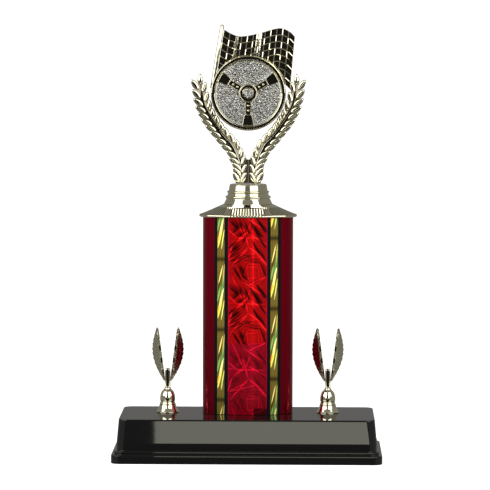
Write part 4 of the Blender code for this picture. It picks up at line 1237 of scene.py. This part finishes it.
def make_wing(looks, hand, which, side):
    """A swept blade: a flat leading edge, barbs in a herringbone on both faces and feather tips outside."""
    low, high = box(f"{hand}_trim_{which}_wing")
    trim_low, trim_high = box(f"{hand}_trim_body")
    centre = (trim_low[0] + trim_high[0]) / 2
    middle_y = (trim_low[1] + trim_high[1]) / 2
    root, length = low[2], high[2] - low[2]
    levels, columns = 230, 40
    shares = np.linspace(0, 1, levels)
    inner = WING_ROOT + (WING_SPREAD - WING_ROOT) * shares
    swell = np.sin(math.pi * np.minimum(shares, 0.999) ** 0.95)
    tooth = 1 - np.mod(shares * FEATHERS + 0.35, 1.0)
    blade = 1.7 * WING_BEAM + WING_WIDTH * swell * (1 - 0.1 * tooth * np.minimum(1, 8 * swell))
    back = blade * math.tan(WING_SWEEP)
    rings, marks = [], []
    beam = WING_BEAM
    for i in range(levels):
        taper = min(1.0, 0.35 + 0.9 * math.sin(math.pi * min(shares[i], 0.999)) ** 0.6)
        front, rear = [], []
        for k in range(columns + 1):
            c = k / columns
            across = blade[i] * c
            drift = back[i] * c
            thick = (0.62 - 0.35 * c) * taper
            tilt = 0.13 * (1 + math.tanh(4 * math.sin(9 * math.pi * shares[i])))
            ledge = tilt * (across - beam) - thick - 0.5 * taper
            front.append((inner[i] + across, ledge if across < 2 * beam else drift - thick, c))
            rear.append((inner[i] + across, drift + thick, c))
        section = front + rear[::-1]
        rings.append([(centre + side * x, middle_y + y, root + shares[i] * length) for x, y, _ in section])
        marks += [(shares[i], c) for _, _, c in section]
    rings = np.array(rings)
    count, around = rings.shape[:2]
    faces = []
    for i in range(count - 1):
        for k in range(around):
            after = (k + 1) % around
            quad = (i * around + k, i * around + after, (i + 1) * around + after, (i + 1) * around + k)
            faces.append(quad if side > 0 else quad[::-1])
    first = list(range(around))
    last = [(count - 1) * around + k for k in range(around)]
    faces.append(first[::-1] if side > 0 else first)
    faces.append(last if side > 0 else last[::-1])
    mesh = bpy.data.meshes.new(f"{hand}_{which}_wing_start")
    mesh.from_pydata(rings.reshape(-1, 3) * MM, [], faces)
    marks = np.array(marks)
    mark(mesh, "along", marks[:, 0])
    mark(mesh, "across", marks[:, 1])
    lines = np.abs(np.sin(math.pi * (marks[:, 0] * BARBS - BARB_SLANT * np.abs(marks[:, 1] - 0.52))))
    # Painted shade along the herringbone barb lines on the blade, none on the leading edge.
    mark(mesh, "shade", 0.9 * np.clip(1 - lines / 0.7, 0, 1) * np.clip((marks[:, 1] - 0.24) * 12, 0, 1))
    shape = Shape(f"{hand}_{which}_barbs", Barbs=BARBS, Slant=BARB_SLANT, Relief=0.16)
    across = shape.read("across")
    fold = shape.math("ABSOLUTE", shape.math("SUBTRACT", across, 0.52))
    lines = shape.math("MULTIPLY", shape.read("along"), shape.given["Barbs"])
    lines = shape.math("SUBTRACT", lines, shape.math("MULTIPLY", fold, shape.given["Slant"]))
    wave = shape.math("SINE", shape.math("MULTIPLY", lines, math.pi))
    barbs = shape.math("POWER", shape.math("ABSOLUTE", wave), 0.7)
    on_blade = shape.math("MULTIPLY", shape.math("SUBTRACT", across, 0.22), 12.0)
    on_blade = shape.math("MINIMUM", shape.math("MAXIMUM", on_blade, 0.0), 1.0)
    off_edge = shape.math("MINIMUM", shape.math("MULTIPLY", shape.math("SUBTRACT", 1.0, across), 12.0), 1.0)
    height = shape.math("MULTIPLY", shape.math("MULTIPLY", barbs, on_blade), off_edge)
    height = shape.math("MULTIPLY", height, shape.given["Relief"])
    lifted = shape.lift(shape.given[0], height)
    made = shape.made(f"{hand}_{which}_wing", mesh, lifted, looks["lined"], math.radians(75))
    name = f"{hand}_{which}_wing"
    add_piece(name, made, looks["lined"], f"{hand}_trim", "gold_metallised", f"{hand}_trim_{which}_wing")


def make_hidden(looks):
    """Gives the pieces inside, which keep their CAD shape, their own finish."""
    finishes = {
        "board": ("bottom_board", "column_core", "lower_plug", "upper_plug"),
        "cast": ("base_weight",),
        "steel": ("tie_rod", "rod_washer", "rod_nut", "topper_nut", "left_trim_screw", "right_trim_screw"),
    }
    finishes["steel"] += ("left_trim_washer", "right_trim_washer")
    for look, nodes in finishes.items():
        for node in nodes:
            slots = frame["nodes"][node].data.materials
            if not slots:
                slots.append(looks[look])
            for i in range(len(slots)):
                slots[i] = looks[look]


# Studio


def softbox(name, azimuth, low, high, distance, width, radiance):
    """A soft light that faces the trophy, turned this far round from the front, between two elevations."""
    turn = math.radians(azimuth)
    out = Vector((math.sin(turn), -math.cos(turn), 0))
    bottom = distance * math.tan(math.radians(low))
    top = distance * math.tan(math.radians(high))
    light = bpy.data.lights.new(name, "AREA")
    light.shape = "RECTANGLE"
    light.size = width
    light.size_y = top - bottom
    light.energy = radiance * math.pi * light.size * light.size_y
    lamp = bpy.data.objects.new(name, light)
    lamp.location = out * distance + Vector((0, 0, 0.2 + (top + bottom) / 2))
    lamp.rotation_euler = (-out).to_track_quat("-Z", "Y").to_euler()
    lamp.visible_camera = False
    bpy.context.scene.collection.objects.link(lamp)


def make_world():
    """Even dim surroundings with a dark gap between the lights, and plain white behind the trophy."""
    world = bpy.data.worlds.new("studio")
    world.use_nodes = True
    bpy.context.scene.world = world
    tree = Tree(world.node_tree)
    for node in list(world.node_tree.nodes):
        world.node_tree.nodes.remove(node)
    heading = tree.add("ShaderNodeTexCoord").outputs["Generated"]
    parts = tree.add("ShaderNodeSeparateXYZ", {0: heading}).outputs
    forward = tree.math("MAXIMUM", tree.math("MULTIPLY", parts[1], -1.0), 0.001)
    aside = tree.math("DIVIDE", tree.math("ADD", tree.math("ABSOLUTE", parts[0]), 0.001), forward)
    edge = {"Value": aside, "From Min": 0.36, "From Max": 0.52}
    gap = tree.add("ShaderNodeMapRange", edge).outputs[0]
    level = tree.math("ABSOLUTE", tree.math("ADD", tree.math("DIVIDE", parts[2], forward), 0.07))
    over = tree.add("ShaderNodeMapRange", {"Value": level, "From Min": 0.26, "From Max": 0.36}).outputs[0]
    gap = tree.math("MAXIMUM", gap, over)
    colour = tree.ramp(gap, [(0.0, (0.012, 0.011, 0.011)), (1.0, (0.23, 0.225, 0.215))])
    dim = tree.add("ShaderNodeBackground", {"Color": colour, "Strength": 1.0}).outputs[0]
    white = tree.add("ShaderNodeBackground", {"Color": (1, 1, 1, 1), "Strength": 1.1}).outputs[0]
    seen = tree.add("ShaderNodeLightPath").outputs["Is Camera Ray"]
    mixed = tree.add("ShaderNodeMixShader", {0: seen, 1: dim, 2: white}).outputs[0]
    tree.add("ShaderNodeOutputWorld", {0: mixed})


def make_studio():
    make_world()
    softbox("left_softbox", -49, 3, 46, 1.3, 1.55, 2.8)
    softbox("right_softbox", 38, 3, 46, 1.3, 1.2, 2.8)
    card = bpy.data.lights.new("front_card", "AREA")
    card.shape = "RECTANGLE"
    card.size, card.size_y = 1.0, 0.09
    card.color = (1.0, 1.0, 0.82)
    card.energy = 3.0 * math.pi * card.size * card.size_y
    lamp = bpy.data.objects.new("front_card", card)
    lamp.location = (0.31, -2.45, 0.112)
    lamp.rotation_euler = (math.pi / 2, 0, 0)
    lamp.visible_camera = False
    bpy.context.scene.collection.objects.link(lamp)
    bm = bmesh.new()
    bmesh.ops.create_grid(bm, x_segments=1, y_segments=1, size=12.0)
    sheet = bpy.data.meshes.new("floor")
    bm.to_mesh(sheet)
    bm.free()
    floor = bpy.data.objects.new("floor", sheet)
    bpy.context.scene.collection.objects.link(floor)
    paper, tree, shader = new_material("pale_paper", (0.62, 0.62, 0.61), 0.0, 0.9)
    shader.inputs["Emission Color"].default_value = (1, 1, 1, 1)
    shader.inputs["Emission Strength"].default_value = 0.95
    tree.feed(shader.inputs["Roughness"], tree.spread(noise(tree, 40, 2.0), 0.85, 0.95))
    sheet.materials.append(paper)
    floor.visible_glossy = False


def make_camera():
    yaw, pitch, roll = -0.0183, 0.0751, -0.0022
    ahead = Vector((math.sin(yaw) * math.cos(pitch), math.cos(yaw) * math.cos(pitch), -math.sin(pitch)))
    right = ahead.cross(Vector((0, 0, 1))).normalized()
    up = right.cross(ahead)
    right, up = right * math.cos(roll) - up * math.sin(roll), up * math.cos(roll) + right * math.sin(roll)
    lens_data = bpy.data.cameras.new("camera")
    lens_data.sensor_width = 36.0
    lens_data.lens = 219.2
    camera = bpy.data.objects.new("camera", lens_data)
    turn = Matrix((right, up, -ahead)).transposed().to_4x4()
    camera.matrix_world = Matrix.Translation((0.0416, -2.400, 0.3523)) @ turn
    bpy.context.scene.collection.objects.link(camera)
    bpy.context.scene.camera = camera
    bpy.context.scene.view_settings.view_transform = "Standard"


def main():
    looks = make_materials()
    make_studio()
    make_camera()
    make_base(looks)
    make_column(looks)
    make_cap(looks)
    make_pedestal(looks)
    leaf = bpy.data.objects.new("leaf", leaf_mesh())
    bpy.context.scene.collection.objects.link(leaf)
    for hand, side in HANDS.items():
        make_laurel(looks, hand, side, leaf)
    bpy.data.objects.remove(leaf)
    make_disc(looks)
    make_rim(looks)
    make_spokes(looks)
    make_button(looks)
    make_pole(looks)
    make_flag(looks)
    for hand, side in HANDS.items():
        make_bell(looks, hand)
        make_body(looks, hand)
        make_wing(looks, hand, "outer", side)
        make_wing(looks, hand, "inner", -side)
    make_hidden(looks)


main()
bpy.context.view_layer.update()
